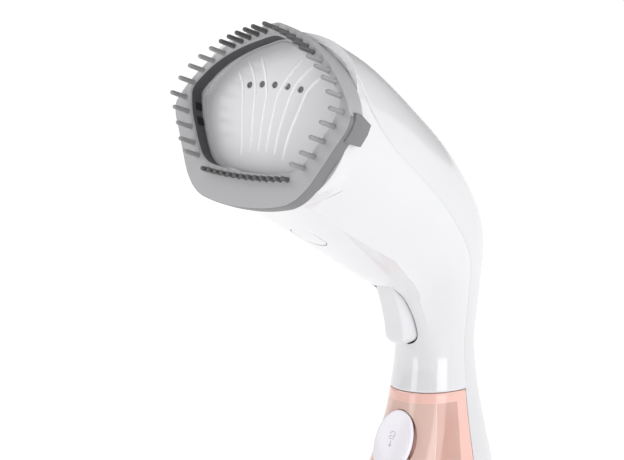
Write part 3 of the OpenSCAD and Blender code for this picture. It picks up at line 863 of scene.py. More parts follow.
# ------------------------------------------------------------------ housing
@dataclass
class Housing:
    """The two halves of the shell, with the cap, gland and lens set in them."""

    wall: float = 2.2
    slot_half: float = 6.15
    slot_round: float = 134.8
    slot_top: float = 162.4
    cap_half: float = 7.0
    cap_straight: float = 3.0
    cap_gap: float = 0.35
    gland_bore: float = 3.5
    lip_width: float = 3.3
    gland_z: float = 22.0
    gland_y: float = 34.5
    side_seam: tuple[Pair, ...] = (
        (0.0, 23), (0.06, 22), (0.2, 15), (0.47, 8), (0.75, 4), (1.0, 2), (1.4, 0),
    )

    def seam_angle(self, t: float) -> float:
        """Gives the angle of the side seam at t, degrees."""
        return follow(self.side_seam, t)

    def skin(self, t: float, w: float, inset: float) -> Vector:
        """Gives a point of the shell, with the slanted seam above the tank.

        Args:
            t: place along the body, in rows.
            w: angle round the section, degrees.
            inset: depth below the skin, in mm.

        Returns:
            The point, in mm.
        """
        p = BODY.at(t, w, inset)
        start = BODY.seam - 1
        if start < t <= BODY.seam:
            p.z += (BODY.seam_z(p.y) - BODY.rows[BODY.seam][1]) * (t - start) ** 2
        return p

    def front(self) -> bpy.types.Object:
        """Builds the front half, creased along each side.

        Returns:
            The piece.
        """
        # shares of the way from the middle (0) over the crease (1) to the seam (2)
        steps = [0, 0.14, 0.28, 0.42, 0.56, 0.68, 0.78, 0.86, 0.92, 0.955, 0.98, 0.992, 1.0]
        steps += [1.008, 1.02, 1.045, 1.08, 1.12, 1.17, 1.22, 1.28, 1.34, 1.41, 1.48, 1.56]
        steps += [1.64, 1.72, 1.8, 1.87, 1.93, 1.97, 1.99, 2.0]
        across = [-s for s in reversed(steps[1:])] + steps
        along = [-0.014, 0.0, 0.02, 0.04] + list(np.linspace(0.07, 6.95, 170)) + [6.975, 6.99, 7.0]

        def sheet(deep: float) -> Grid:
            """Gives a half's sheet of points.

            Args:
                deep: depth below the skin, in mm.

            Returns:
                Rows of points along the body.
            """
            rows = []
            for t in along:
                row = []
                start, end = BODY.crease_at(t), 360 + self.seam_angle(t)
                for s in across:
                    m = abs(s)
                    w = 270 + m * (start - 270) if m <= 1 else start + (m - 1) * (end - start)
                    w = w if s >= 0 else 540 - w
                    tuck = 0.35 * max(0.0, (m - 1.985) / 0.015) ** 2
                    tuck += 0.1 * max(0.0, 1 - t / 0.03) ** 2
                    tuck += 0.35 * max(0.0, (t - 6.975) / 0.025) ** 2
                    ridge = 0.22 * math.exp(-(((m - 1) / 0.02) ** 2)) * ease(t, 0.3, 0.9)
                    ridge *= 1 - ease(t, 4.3, 6.0)
                    row.append(self.skin(t, w, deep + (tuck - ridge if deep == 0 else 0)))
                rows.append(row)
            return rows

        sketch = Sketch().wall(sheet(0.0), sheet(self.wall))
        piece = sketch.make("housing_front", GLOSS_WHITE, sharp=30)
        return carve(piece, self.trigger_slot(), self.cap_seat(), *self.side_lines())

    def trigger_slot(self) -> bpy.types.Object:
        """Makes the solid that cuts the trigger's slot, round at its lower end.

        Returns:
            The cutter.
        """
        rings = []
        front, bend, top = -50, 150, self.slot_top
        heights = [129.0, 129.1, 129.4, 129.8, 130.4, 131.2, 132.2, 133.4, self.slot_round]
        for z in [*heights, bend, top]:
            below = max(0.0, (self.slot_round - z) / 5.8)
            wide = self.slot_half * math.sqrt(max(0.03, 1 - below**2))
            rear = -12 if z <= bend else -22
            corners = ((-wide, front), (wide, front), (wide, rear), (-wide, rear))
            rings.append([Vector((x, y, z)) for x, y in corners])
        return Sketch().tube(rings).make("slot", GLOSS_WHITE)

    def cap_frame(self) -> Matrix:
        """Gives the place of the oval cap under the head: z points into the head."""
        p, q = BODY.at(1.75, 270), BODY.at(1.85, 270)
        slope = math.atan2(q.z - p.z, q.y - p.y)
        return Matrix.Translation((0, p.y, p.z + 0.1)) @ Matrix.Rotation(slope, 4, "X")

    def stadium(self, grow: float, z: float) -> list[Vector]:
        """Gives a rounded oval ring of the cap.

        Args:
            grow: extra size all round, in mm.
            z: depth in the head, in mm.

        Returns:
            The ring, in mm.
        """
        ring = []
        count = 48
        for i in range(count):
            a = 2 * math.pi * i / count
            x, y = (self.cap_half + grow) * math.cos(a), (self.cap_half + grow) * math.sin(a)
            y += math.copysign(self.cap_straight, math.sin(a))
            ring.append(self.cap_frame() @ Vector((x, y, z)))
        return ring

    def cap_seat(self) -> bpy.types.Object:
        """Makes the solid that cuts the oval cap's seat."""
        sketch = Sketch().tube([self.stadium(self.cap_gap, z) for z in (-6, 6)])
        return sketch.make("seat", GLOSS_WHITE)

    def side_lines(self) -> list[bpy.types.Object]:
        """Makes the slim solids that cut a short parting line beside the frame.

        Returns:
            One cutter for each side.
        """
        made = []
        for side in (1, -1):
            rows = []
            for k in np.linspace(0, 1, 9):
                t, w = 0.56 + 0.17 * k, 309 + 14 * k
                ahead = BODY.at(t + 0.02, w) - BODY.at(t, w)
                p, deep = BODY.at(t, w, -0.8), BODY.at(t, w, 0.7)
                half = ahead.normalized() * 0.22 * math.sin(math.pi * (0.08 + 0.84 * k))
                ring = [p - half, p + half, deep + half, deep - half]
                rows.append([Vector((side * v.x, v.y, v.z)) for v in ring])
            made.append(Sketch().tube(rows).make("line", GLOSS_WHITE))
        return made

    def back(self) -> bpy.types.Object:
        """Builds the back half, which runs down behind the tank to the base.

        Returns:
            The piece.
        """
        across = [0.0, 0.004, 0.012, 0.03] + list(np.linspace(0.05, 0.95, 61))
        across += [0.97, 0.988, 0.996, 1.0]
        along = [-0.014, 0.0, 0.02, 0.04] + list(np.linspace(0.07, 11.9, 190)) + [11.97, 12.0]

        def sheet(deep: float) -> Grid:
            """Gives a half's sheet of points.

            Args:
                deep: depth below the skin, in mm.

            Returns:
                Rows of points along the body.
            """
            rows = []
            for t in along:
                row = []
                low = self.seam_angle(t)
                for s in across:
                    w = low + s * (180 - 2 * low)
                    edge = min(s, 1 - s)
                    tuck = 0.3 * max(0.0, 1 - edge / 0.01) ** 2
                    tuck += 0.1 * max(0.0, 1 - t / 0.03) ** 2
                    row.append(BODY.at(t, w, deep + (tuck if deep == 0 else 0)))
                rows.append(row)
            return rows

        sketch = Sketch().wall(sheet(0.0), sheet(self.wall))
        piece = sketch.make("housing_back", SOFT_WHITE, sharp=30)
        return carve(piece, self.gland_hole(), self.lens_hole())

    def gland_frame(self) -> Matrix:
        """Gives the place of the cord gland: z points backwards."""
        turn = Matrix.Rotation(-math.pi / 2, 4, "X")
        return Matrix.Translation((0, self.gland_y, self.gland_z)) @ turn

    def gland_hole(self) -> bpy.types.Object:
        """Makes the solid that cuts the gland's hole."""
        rings = turned(self.gland_frame(), [(7, -15), (7, 15)])
        return Sketch().tube(rings).make("hole", SOFT_WHITE)

    def lens_frame(self) -> Matrix:
        """Gives the place of the indicator lens on the back of the head."""
        p = BODY.at(2.6, 90)
        return Matrix.Translation(p) @ Matrix.Rotation(math.radians(-38), 4, "X")

    def lens_hole(self) -> bpy.types.Object:
        """Makes the solid that cuts the lens's hole."""
        rings = turned(self.lens_frame(), [(2.4, -8), (2.4, 8)])
        return Sketch().tube(rings).make("hole", SOFT_WHITE)

    def lens(self) -> bpy.types.Object:
        """Builds the domed indicator lens.

        Returns:
            The piece.
        """
        dome = [(2.2, -3.0), (2.2, -0.3), (2.05, 0.0), (1.6, 0.16), (0.9, 0.26), (0.2, 0.3)]
        rings = turned(self.lens_frame(), dome)
        return Sketch().tube(rings).make("indicator_lens", LENS_CLEAR)

    def gland(self) -> bpy.types.Object:
        """Builds the ribbed cord gland around its bore.

        Returns:
            The piece.
        """
        bore = self.gland_bore
        profile = [(bore, -6), (6.6, -6), (6.8, -5.6), (6.8, 7.9), (8.0, 8.2), (8.1, 8.5)]
        profile += [(8.1, 9.5), (7.8, 9.9), (7.3, 10), (5.0, 10), (4.6, 9.8), (4.3, 9.4)]
        profile += [(4.3, 8.6), (bore, 8.2)]
        rings = turned(self.gland_frame(), profile, 56)
        return Sketch().ring(rings).make("cord_gland_collar", RUBBER_DARK, sharp=45)

    def cap(self) -> bpy.types.Object:
        """Builds the oval cap under the head, its rim rounded.

        Returns:
            The piece.
        """
        rings = [(-0.9, 0.0), (-0.3, 0.03), (-0.05, 0.2), (0.0, 0.45), (0.0, 2.0)]
        sketch = Sketch().tube([self.stadium(g, z) for g, z in rings])
        return sketch.make("underside_oval_cap", GLOSS_WHITE)

    def lip(self) -> bpy.types.Object:
        """Builds the narrow rim that closes the shell's front edge behind the frame.

        Returns:
            The piece.
        """
        fore, aft, skin = -0.008, 0.05, 0.3
        corners = ((fore, skin), (fore, self.lip_width), (aft, self.lip_width), (aft, skin))
        rings = [
            [BODY.at(t, w, inset) for w in np.linspace(0, 360, 180, endpoint=False)]
            for t, inset in corners
        ]
        return Sketch().ring(rings).make("housing_front_lip", GLOSS_WHITE, sharp=35)

    def build(self) -> None:
        """Builds and hangs every piece of the housing."""
        place_piece(self.lip(), "housing", "white_gloss")
        place_piece(self.front(), "housing", "white_gloss", "shell_front")
        place_piece(self.back(), "housing", "soft_white_gloss", "shell_back")
        place_piece(self.cap(), "housing", "white_gloss", "underside_cap")
        place_piece(self.gland(), "housing", "dark_plastic", "cord_gland")
        place_piece(self.lens(), "housing", "clear_lens", "indicator")


def place_piece(piece: bpy.types.Object, body: str, slot: str, *nodes: str) -> None:
    """Hangs a finished piece on its body.

    Args:
        piece: finished piece.
        body: body that it moves with.
        slot: the record's material slot; not used.
        nodes: solids that it stands for.
    """
    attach(piece, body)
    if nodes:
        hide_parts(*nodes)
    count = sum(len(p.vertices) - 2 for p in piece.data.polygons)
    LOG.info("%s on %s: %d triangles", piece.name, body, count)


# ------------------------------------------------------------------ steam plate
@dataclass
class SteamPlate:
    """The domed steam plate with its ribs and holes."""

    back: float = 6.0
    dome: float = 240.0
    gap: float = 0.5
    count: int = 300
    hole_r: float = 1.5
    pitch: float = 7.5
    rib_r: float = 1.6
    rib_sunk: float = 1.27
    shade_cup_r: float = 1.46
    shade_cup_deep: float = 1.1
    ribs: tuple[tuple[Pair, ...], ...] = (
        (
            (12.0, -23.5), (13.0, -16), (14.4, -8.6), (16.2, -1.5),
            (17.6, 4.2), (18.8, 8.6), (21.0, 12.2), (24.2, 15.8),
        ),
        (
            (7.2, -21.5), (7.6, -14), (8.4, -6.8), (9.4, 0),
            (10.4, 6), (12.2, 11.8), (15.4, 16.6), (19.4, 21.2),
        ),
        (
            (2.3, -21), (2.4, -14), (2.7, -7.4), (2.9, -0.5),
            (3.3, 6), (5.4, 12), (8.6, 18), (12.3, 23.4),
        ),
    )

    def top(self, x: float, v: float) -> float:
        """Gives the height of the plate's skin over the face plane."""
        return -self.back - (x * x + v * v) / (2 * self.dome)

    def dome_tree(self) -> FormTree:
        """Builds the tree that sinks a flat plate into a dome.

        Returns:
            The tree.
        """
        form = FormTree("dome")
        radius = form.size("Dome radius", self.dome * MM)
        normal = FACE.at(0, 0, 1) - FACE.at(0, 0, 0)
        centre = FACE.at(0, 0, -self.back) * MM
        here = form.add("GeometryNodeInputPosition")
        arm = form.add(
            "ShaderNodeVectorMath", {"operation": "SUBTRACT", 1: centre}, {0: here.outputs[0]}
        )
        out = form.add(
            "ShaderNodeVectorMath", {"operation": "DOT_PRODUCT", 1: normal}, {0: arm.outputs[0]}
        )
        far = form.add("ShaderNodeVectorMath", {"operation": "LENGTH"}, {0: arm.outputs[0]})
        flat = form.math(
            "SUBTRACT",
            form.math("POWER", far.outputs["Value"], 2.0),
            form.math("POWER", out.outputs["Value"], 2.0),
        )
        sink = form.math("DIVIDE", flat, form.math("MULTIPLY", radius, -2.0))
        move = form.add(
            "ShaderNodeVectorMath", {"operation": "SCALE", 0: normal}, {"Scale": sink}
        )
        moved = form.add(
            "GeometryNodeSetPosition",
            None,
            {"Geometry": form.given.outputs["Geometry"], "Offset": move.outputs[0]},
        )
        form.close(moved.outputs[0])
        return form

    def hole_points(self) -> list[Pair]:
        """Gives the middles of the steam holes on the face."""
        return [(i * self.pitch, 10.6 - 0.25 * i * i) for i in range(-2, 3)]

    def disc(self) -> bpy.types.Object:
        """Builds the plate: a flat rounded disc, domed by its tree, then pierced.

        Returns:
            The piece.
        """
        edge = smooth_loop(INNER, self.count) - self.gap
        rim = [(s, 0.0) for s in np.linspace(0.04, 0.93, 22)]
        rim += [(0.96, 0.0), (0.98, -0.03), (0.99, -0.12), (0.996, -0.3), (1.0, -0.7)]
        rim += [(1.0, -2.5), (0.97, -2.5), (0.6, -2.5), (0.2, -2.5)]
        at = np.linspace(-math.pi, math.pi, self.count, endpoint=False)
        rings = [
            [
                FACE.at(s * r * math.cos(a), s * r * math.sin(a), out - self.back)
                for a, r in zip(at, edge, strict=True)
            ]
            for s, out in rim
        ]
        flat = Sketch().tube(rings).make("steam_plate_domed", PLATE_WHITE)
        size = {"Dome radius": self.dome * MM}
        piece = self.dome_tree().bake(flat, "steam_plate_domed", PLATE_WHITE, size)
        drills = []
        for x, v in self.hole_points():
            top = self.top(x, v)
            # a straight bore whose mouth opens a little at the skin
            bore = [(0.0, -4.0), (0.0, -0.25), (0.35, 0.12), (0.4, 2.0)]
            rings = []
            for grow, out in bore:
                r = self.hole_r + grow
                rings.append([
                    FACE.at(x + r * math.cos(a), v + r * math.sin(a), top + out)
                    for a in around(40)
                ])
            drills.append(Sketch().tube(rings).make("drill", PLATE_WHITE))
        return carve(piece, *drills)

    def rib_tree(self) -> FormTree:
        """Builds the tree that lays a tapered rib along each line.

        Returns:
            The tree.
        """
        form = FormTree("ribs")
        radius = form.size("Rib radius", self.rib_r * MM)
        line = form.add("GeometryNodeMeshToCurve", None, {"Mesh": form.given.outputs["Geometry"]})
        fine = form.add(
            "GeometryNodeResampleCurve", {"Count": 60}, {"Curve": line.outputs[0]}
        )
        along = form.add("GeometryNodeSplineParameter")
        taper = form.add("ShaderNodeFloatCurve", None, {"Value": along.outputs["Factor"]})
        curve = taper.mapping.curves[0]
        curve.points[0].location = (0.0, 0.77)
        curve.points[1].location = (1.0, 0.78)
        for x, y in ((0.1, 0.91), (0.55, 0.94), (0.82, 1.0), (0.94, 0.93)):
            curve.points.new(x, y)
        taper.mapping.update()
        thick = form.math("MULTIPLY", taper.outputs[0], radius)
        form.close(form.rod(fine.outputs[0], thick, 16))
        return form

    def rib_piece(self) -> bpy.types.Object:
        """Builds the six ribs, sunk in the plate until only a low crest shows.

        Returns:
            The piece.
        """
        points: list[Vector] = []
        lines: list[Pair] = []
        for rib in self.ribs:
            for side in (1, -1):
                start = len(points)
                dense = dense_line(rib, 24)
                points += [FACE.at(side * x, v, self.top(x, v) - self.rib_sunk) for x, v in dense]
                lines += [(i, i + 1) for i in range(start, len(points) - 1)]
        source = marks("steam_plate_ribs", points, lines)
        size = {"Rib radius": self.rib_r * MM}
        # The ribs take a brighter white than the plate: painted highlight along their crests
        return self.rib_tree().bake(source, "steam_plate_ribs", RIB_HIGHLIGHT_WHITE, size)

    def shade_cup_tree(self) -> FormTree:
        """Builds the tree that sets a shallow cup in each steam hole.

        Returns:
            The tree.
        """
        form = FormTree("shade_cups")
        radius = form.size("Shade cup radius", self.shade_cup_r * MM)
        depth = form.size("Shade cup depth", self.shade_cup_deep * MM)
        cup = form.add(
            "GeometryNodeMeshCone",
            {"Vertices": 32, "Side Segments": 2},
            {
                "Radius Bottom": form.math("MULTIPLY", radius, 0.8),
                "Radius Top": radius,
                "Depth": depth,
            },
        )
        copies = form.add(
            "GeometryNodeInstanceOnPoints",
            {"Rotation": FACE.turn()},
            {"Points": form.given.outputs["Geometry"], "Instance": cup.outputs["Mesh"]},
        )
        form.close(copies.outputs[0])
        return form

    def shade_cups(self) -> bpy.types.Object:
        """Builds the grey cups set in the steam holes: painted shade for the holes' dark insides.

        Returns:
            The piece.
        """
        points = [FACE.at(x, v, self.top(x, v) - 1.9) for x, v in self.hole_points()]
        sizes = {"Shade cup radius": self.shade_cup_r * MM, "Shade cup depth": self.shade_cup_deep * MM}
        source = marks("steam_hole_shade_cups", points)
        return self.shade_cup_tree().bake(source, "steam_hole_shade_cups", HOLE_SHADE_GREY, sizes)

    def build(self) -> None:
        """Builds and hangs the plate's pieces."""
        place_piece(self.disc(), "housing", "plate_white", "steam_plate")
        place_piece(self.rib_piece(), "housing", "plate_white")
        place_piece(self.shade_cups(), "housing", "dark_plastic")


def dense_line(points: Sequence[Pair], steps: int) -> list[Pair]:
    """Draws a smooth line through points.

    Args:
        points: points of the line.
        steps: number of points wanted.

    Returns:
        The denser points.
    """
    p = np.array(points, float)
    knots = np.concatenate([[0], np.cumsum(np.linalg.norm(np.diff(p, axis=0), axis=1))])
    lean = np.gradient(p, knots, axis=0)
    made = []
    for s in np.linspace(0, knots[-1], steps):
        i = min(int(np.searchsorted(knots, s, "right")) - 1, len(p) - 2)
        h = knots[i + 1] - knots[i]
        k = (s - knots[i]) / h
        value = (
            (2 * k**3 - 3 * k**2 + 1) * p[i]
            + (k**3 - 2 * k**2 + k) * h * lean[i]
            + (3 * k**2 - 2 * k**3) * p[i + 1]
            + (k**3 - k**2) * h * lean[i + 1]
        )
        made.append((float(value[0]), float(value[1])))
    return made


# ------------------------------------------------------------------ bristle frame
@dataclass
class BristleFrame:
    """The clip-on frame around the plate, with its bristles and side clips."""

    flare: float = 3.0
    count: int = 360
    length: float = 10.3
    thick: float = 1.25
    light: tuple[Pair, ...] = (
        (46, 0), (42.9, 7.1), (38.7, 13.1), (33.7, 17.8), (28.2, 21.8),
        (42.7, -6.5), (38.8, -13.5), (35.2, -20.6), (31, -26.1),
    )
    dark: tuple[Pair, ...] = ((23.2, 25.4), (19.1, 27.8), (14.9, 29.8), (10.6, 31.6), (6.2, 33.2))

    def ring(self) -> bpy.types.Object:
        """Builds the frame: a rounded band whose inner wall is dark.

        Returns:
            The piece.
        """
        inner, outer = smooth_loop(INNER, self.count), smooth_loop(OUTER, self.count)
        at = np.linspace(-math.pi, math.pi, self.count, endpoint=False)
        high = outer * np.sin(at)
        spread = np.where(
            (high > -14) & (high < 36), np.sin(math.pi * (high + 14) / 50) ** 2, 0
        )
        rear = outer + self.flare * spread
        # share from the inner to the outer edge, extra radius in mm, height over the face
        profile = [
            (0, 2.6, -7.5), (0, 0, -7.5), (0, 0, -4), (0, 0, -0.9), (0, 0.22, -0.3),
            (0, 0.7, 0), (0.3, 0, 0), (0.6, 0, 0), (1, -0.6, 0), (1, -0.25, -0.07),
            (1, -0.06, -0.25), (1, 0, -0.6), (1.4, 0, -4), (2, 0, -7.0), (2, -0.4, -7.5),
        ]

        def radius(i: int, share: float, extra: float) -> float:
            """Gives how far from the middle a point of the profile lies.

            Args:
                i: column round the frame.
                share: 0 at the inner edge, 1 at the outer edge, 2 at the rear edge.
                extra: distance to add, in mm.

            Returns:
                The radius, in mm.
            """
            if share <= 1:
                return inner[i] + share * (outer[i] - inner[i]) + extra
            return outer[i] + (share - 1) * (rear[i] - outer[i]) + extra

        rings = [
            [
                FACE.at(radius(i, s, e) * math.cos(a), radius(i, s, e) * math.sin(a), out)
                for i, a in enumerate(at)
            ]
            for s, e, out in profile
        ]
        liner_rows, side_row = 3, 9

        def zone(i: int, j: int) -> int:
            """Gives a quad's slot: dark liner, painted shade on the lower half of the outer side,
            or plain grey.

            Args:
                i: row across the profile.
                j: column round the frame.

            Returns:
                The material slot.
            """
            if i < liner_rows:
                return 1
            # The lower half of the outer side takes the darker grey: painted shade
            return 2 if i >= side_row and at[j] < -0.03 else 0

        sketch = Sketch().ring(rings, zone)
        return sketch.make("bristle_frame_band", NYLON_GREY, NYLON_DARK, NYLON_CLIPS_AND_SHADE, sharp=28)

    def bristle_tree(self) -> FormTree:
        """Builds the tree that sets a bristle with a boss and a round tip on each point.

        Returns:
            The tree.
        """
        form = FormTree("bristles")
        radius = form.size("Bristle radius", self.thick * MM)
        length = form.size("Bristle length", self.length * MM)
        end = form.add("ShaderNodeCombineXYZ", None, {"Z": length})
        line = form.add("GeometryNodeCurvePrimitiveLine", None, {"End": end.outputs[0]})
        fine = form.add("GeometryNodeResampleCurve", {"Count": 30}, {"Curve": line.outputs[0]})
        along = form.add("GeometryNodeSplineParameter")
        taper = form.add("ShaderNodeFloatCurve", None, {"Value": along.outputs["Factor"]})
        curve = taper.mapping.curves[0]
        curve.points[0].location = (0.0, 1.0)
        curve.points[1].location = (1.0, 0.2)
        shape = (
            (0.035, 0.98), (0.07, 0.92), (0.12, 0.9), (0.6, 0.88),
            (0.9, 0.84), (0.955, 0.7), (0.985, 0.48),
        )
        for x, y in shape:
            curve.points.new(x, y)
        for point in curve.points:
            point.handle_type = "VECTOR"
        taper.mapping.update()
        solid = form.rod(fine.outputs[0], form.math("MULTIPLY", taper.outputs[0], radius), 14)
        copies = form.add(
            "GeometryNodeInstanceOnPoints",
            {"Rotation": FACE.turn()},
            {"Points": form.given.outputs["Geometry"], "Instance": solid},
        )
        form.close(copies.outputs[0])
        return form

    def bristles(self) -> None:
        """Builds and hangs the three groups of bristles."""
        tree = self.bristle_tree()
        root = -0.1
        light = [FACE.at(s * x, v, root) for x, v in self.light for s in (1, -1)]
        dark = [FACE.at(s * x, v, root) for x, v in self.dark for s in (1, -1)]
        dark.append(FACE.at(0, 34.8, root))
        row = [FACE.at(i * 3.9, -33.4 + 0.035 * i * i, root) for i in range(-6, 7)]
        whole = {"Bristle radius": self.thick * MM, "Bristle length": self.length * MM}
        short = {**whole, "Bristle length": 0.45 * self.length * MM}
        grey, black = (BRISTLE_LIGHT, "grey_plastic"), (BRISTLE_DARK, "dark_bristle")
        pieces = (
            ("bristles_side_light", light, grey, whole, ("bristles_light",)),
            ("bristles_top_dark", dark, black, whole, ("bristles_dark",)),
            ("bristles_row_dark", row, black, short, ()),
        )
        for name, points, (finish, slot), sizes, nodes in pieces:
            piece = tree.bake(marks(name, points), name, finish, sizes)
            place_piece(piece, "brush", slot, *nodes)

    def clips(self) -> bpy.types.Object:
        """Builds the tabs at the side corners that reach back over the housing.

        Returns:
            The piece.
        """
        sketch = Sketch()
        outline = [
            (47.6, 0.9), (52.0, 0.9), (52.3, -2.2), (51.6, -6.5), (49.0, -12.2), (47.0, -12.2),
        ]
        for side in (1, -1):
            rings = [
                [FACE.at(side * x, min(v, top), out) for x, v in outline]
                for out, top in ((-2.2, 0.9), (-6.0, 0.9), (-13.8, -2.1))
            ]
            sketch.tube(rings)
        return soften(sketch.make("bristle_frame_clips", NYLON_CLIPS_AND_SHADE), 0.5)

    def liner_slot_shadows(self) -> bpy.types.Object:
        """Builds black solids low on the dark inner wall: painted shadow for the slots in it.

        Returns:
            The piece.
        """
        sketch = Sketch()
        slots = ((-4.6, -1.2, 40.75, 41.9), (-11.2, -7.8, 37.4, 39.2))
        for side in (1, -1):
            for low, high, x_low, x_high in slots:
                outline = [(x_low, low), (x_high, high), (x_high + 0.8, high), (x_low + 0.8, low)]
                sketch.tube([
                    [FACE.at(side * x, v, out) for x, v in outline] for out in (-3.6, -7.4)
                ])
        return sketch.make("frame_liner_slot_shadows", SLOT_SHADOW_BLACK)

    def build(self) -> None:
        """Builds and hangs the frame's pieces."""
        place_piece(self.ring(), "brush", "grey_plastic", "bristle_frame")
        place_piece(self.clips(), "brush", "grey_side", "frame_clips")
        place_piece(self.liner_slot_shadows(), "brush", "dark_bristle")
        self.bristles()


# ------------------------------------------------------------------ trigger
@dataclass
class Trigger:
    """The finger trigger under the bend, a crowned paddle."""

    half: float = 5.5
    front: tuple[Pair, ...] = (
        (129.9, -26.0), (130.05, -29.3), (130.8, -31.8), (132.3, -33.35), (134, -34.2),
        (136, -34.8), (143, -36), (151, -38.6), (156, -40.6), (158.5, -41.5), (162.0, -42.8),
    )
    back: tuple[Pair, ...] = (
        (129.9, -24.5), (130.6, -23.0), (132.5, -19.5), (140, -17), (148, -19.5),
        (158.5, -26), (162.0, -30),
    )

    def paddle(self) -> bpy.types.Object:
        """Builds the paddle from sections at rising heights.

        Returns:
            The piece.
        """
        rings = []
        # close together over the rounded lower end
        heights = [129.9, 129.95, 130.05, 130.2, 130.45, 130.8, 131.3, 131.9]
        heights += [132.6, 133.4, 134.3, 135.1]
        heights += list(np.linspace(136, 158.5, 26)) + [159.3, 160.6, 162.0]
        for z in heights:
            y0, y1 = follow(self.front, z), follow(self.back, z)
            wide = self.half * math.sqrt(max(0.04, 1 - max(0.0, (135.1 - z) / 5.3) ** 2))
            lip = min(0.8, 0.25 * wide)
            edge = [
                (-wide, y1), (-wide, y0 + 2.6), (-wide, y0 + lip),
                (-wide + 0.15 * lip, y0 + 0.42 * lip), (-wide + 0.55 * lip, y0 + 0.1 * lip),
            ]
            face = [(k * (wide - lip), y0 - 0.35 * (1 - k * k)) for k in np.linspace(-1, 1, 9)]
            ring = edge + face + [(-x, y) for x, y in reversed(edge)]
            rings.append([Vector((x, y, z)) for x, y in ring])
        return Sketch().tube(rings).make("trigger_paddle", GLOSS_WHITE, sharp=44)

    def nose(self) -> bpy.types.Object:
        """Builds the nose that works the switch.

        Returns:
            The piece.
        """
        rings = [
            [
                Vector((r * math.cos(a), y, 136 + r * math.sin(a)))
                for a in around(28)
            ]
            for r, y in ((2, -22), (2, -12.6), (1.7, -12.3))
        ]
        return Sketch().tube(rings).make("trigger_nose", GLOSS_WHITE)

    def build(self) -> None:
        """Builds and hangs the trigger's pieces."""
        place_piece(self.paddle(), "trigger", "white_gloss", "trigger")
        place_piece(self.nose(), "trigger", "white_gloss")


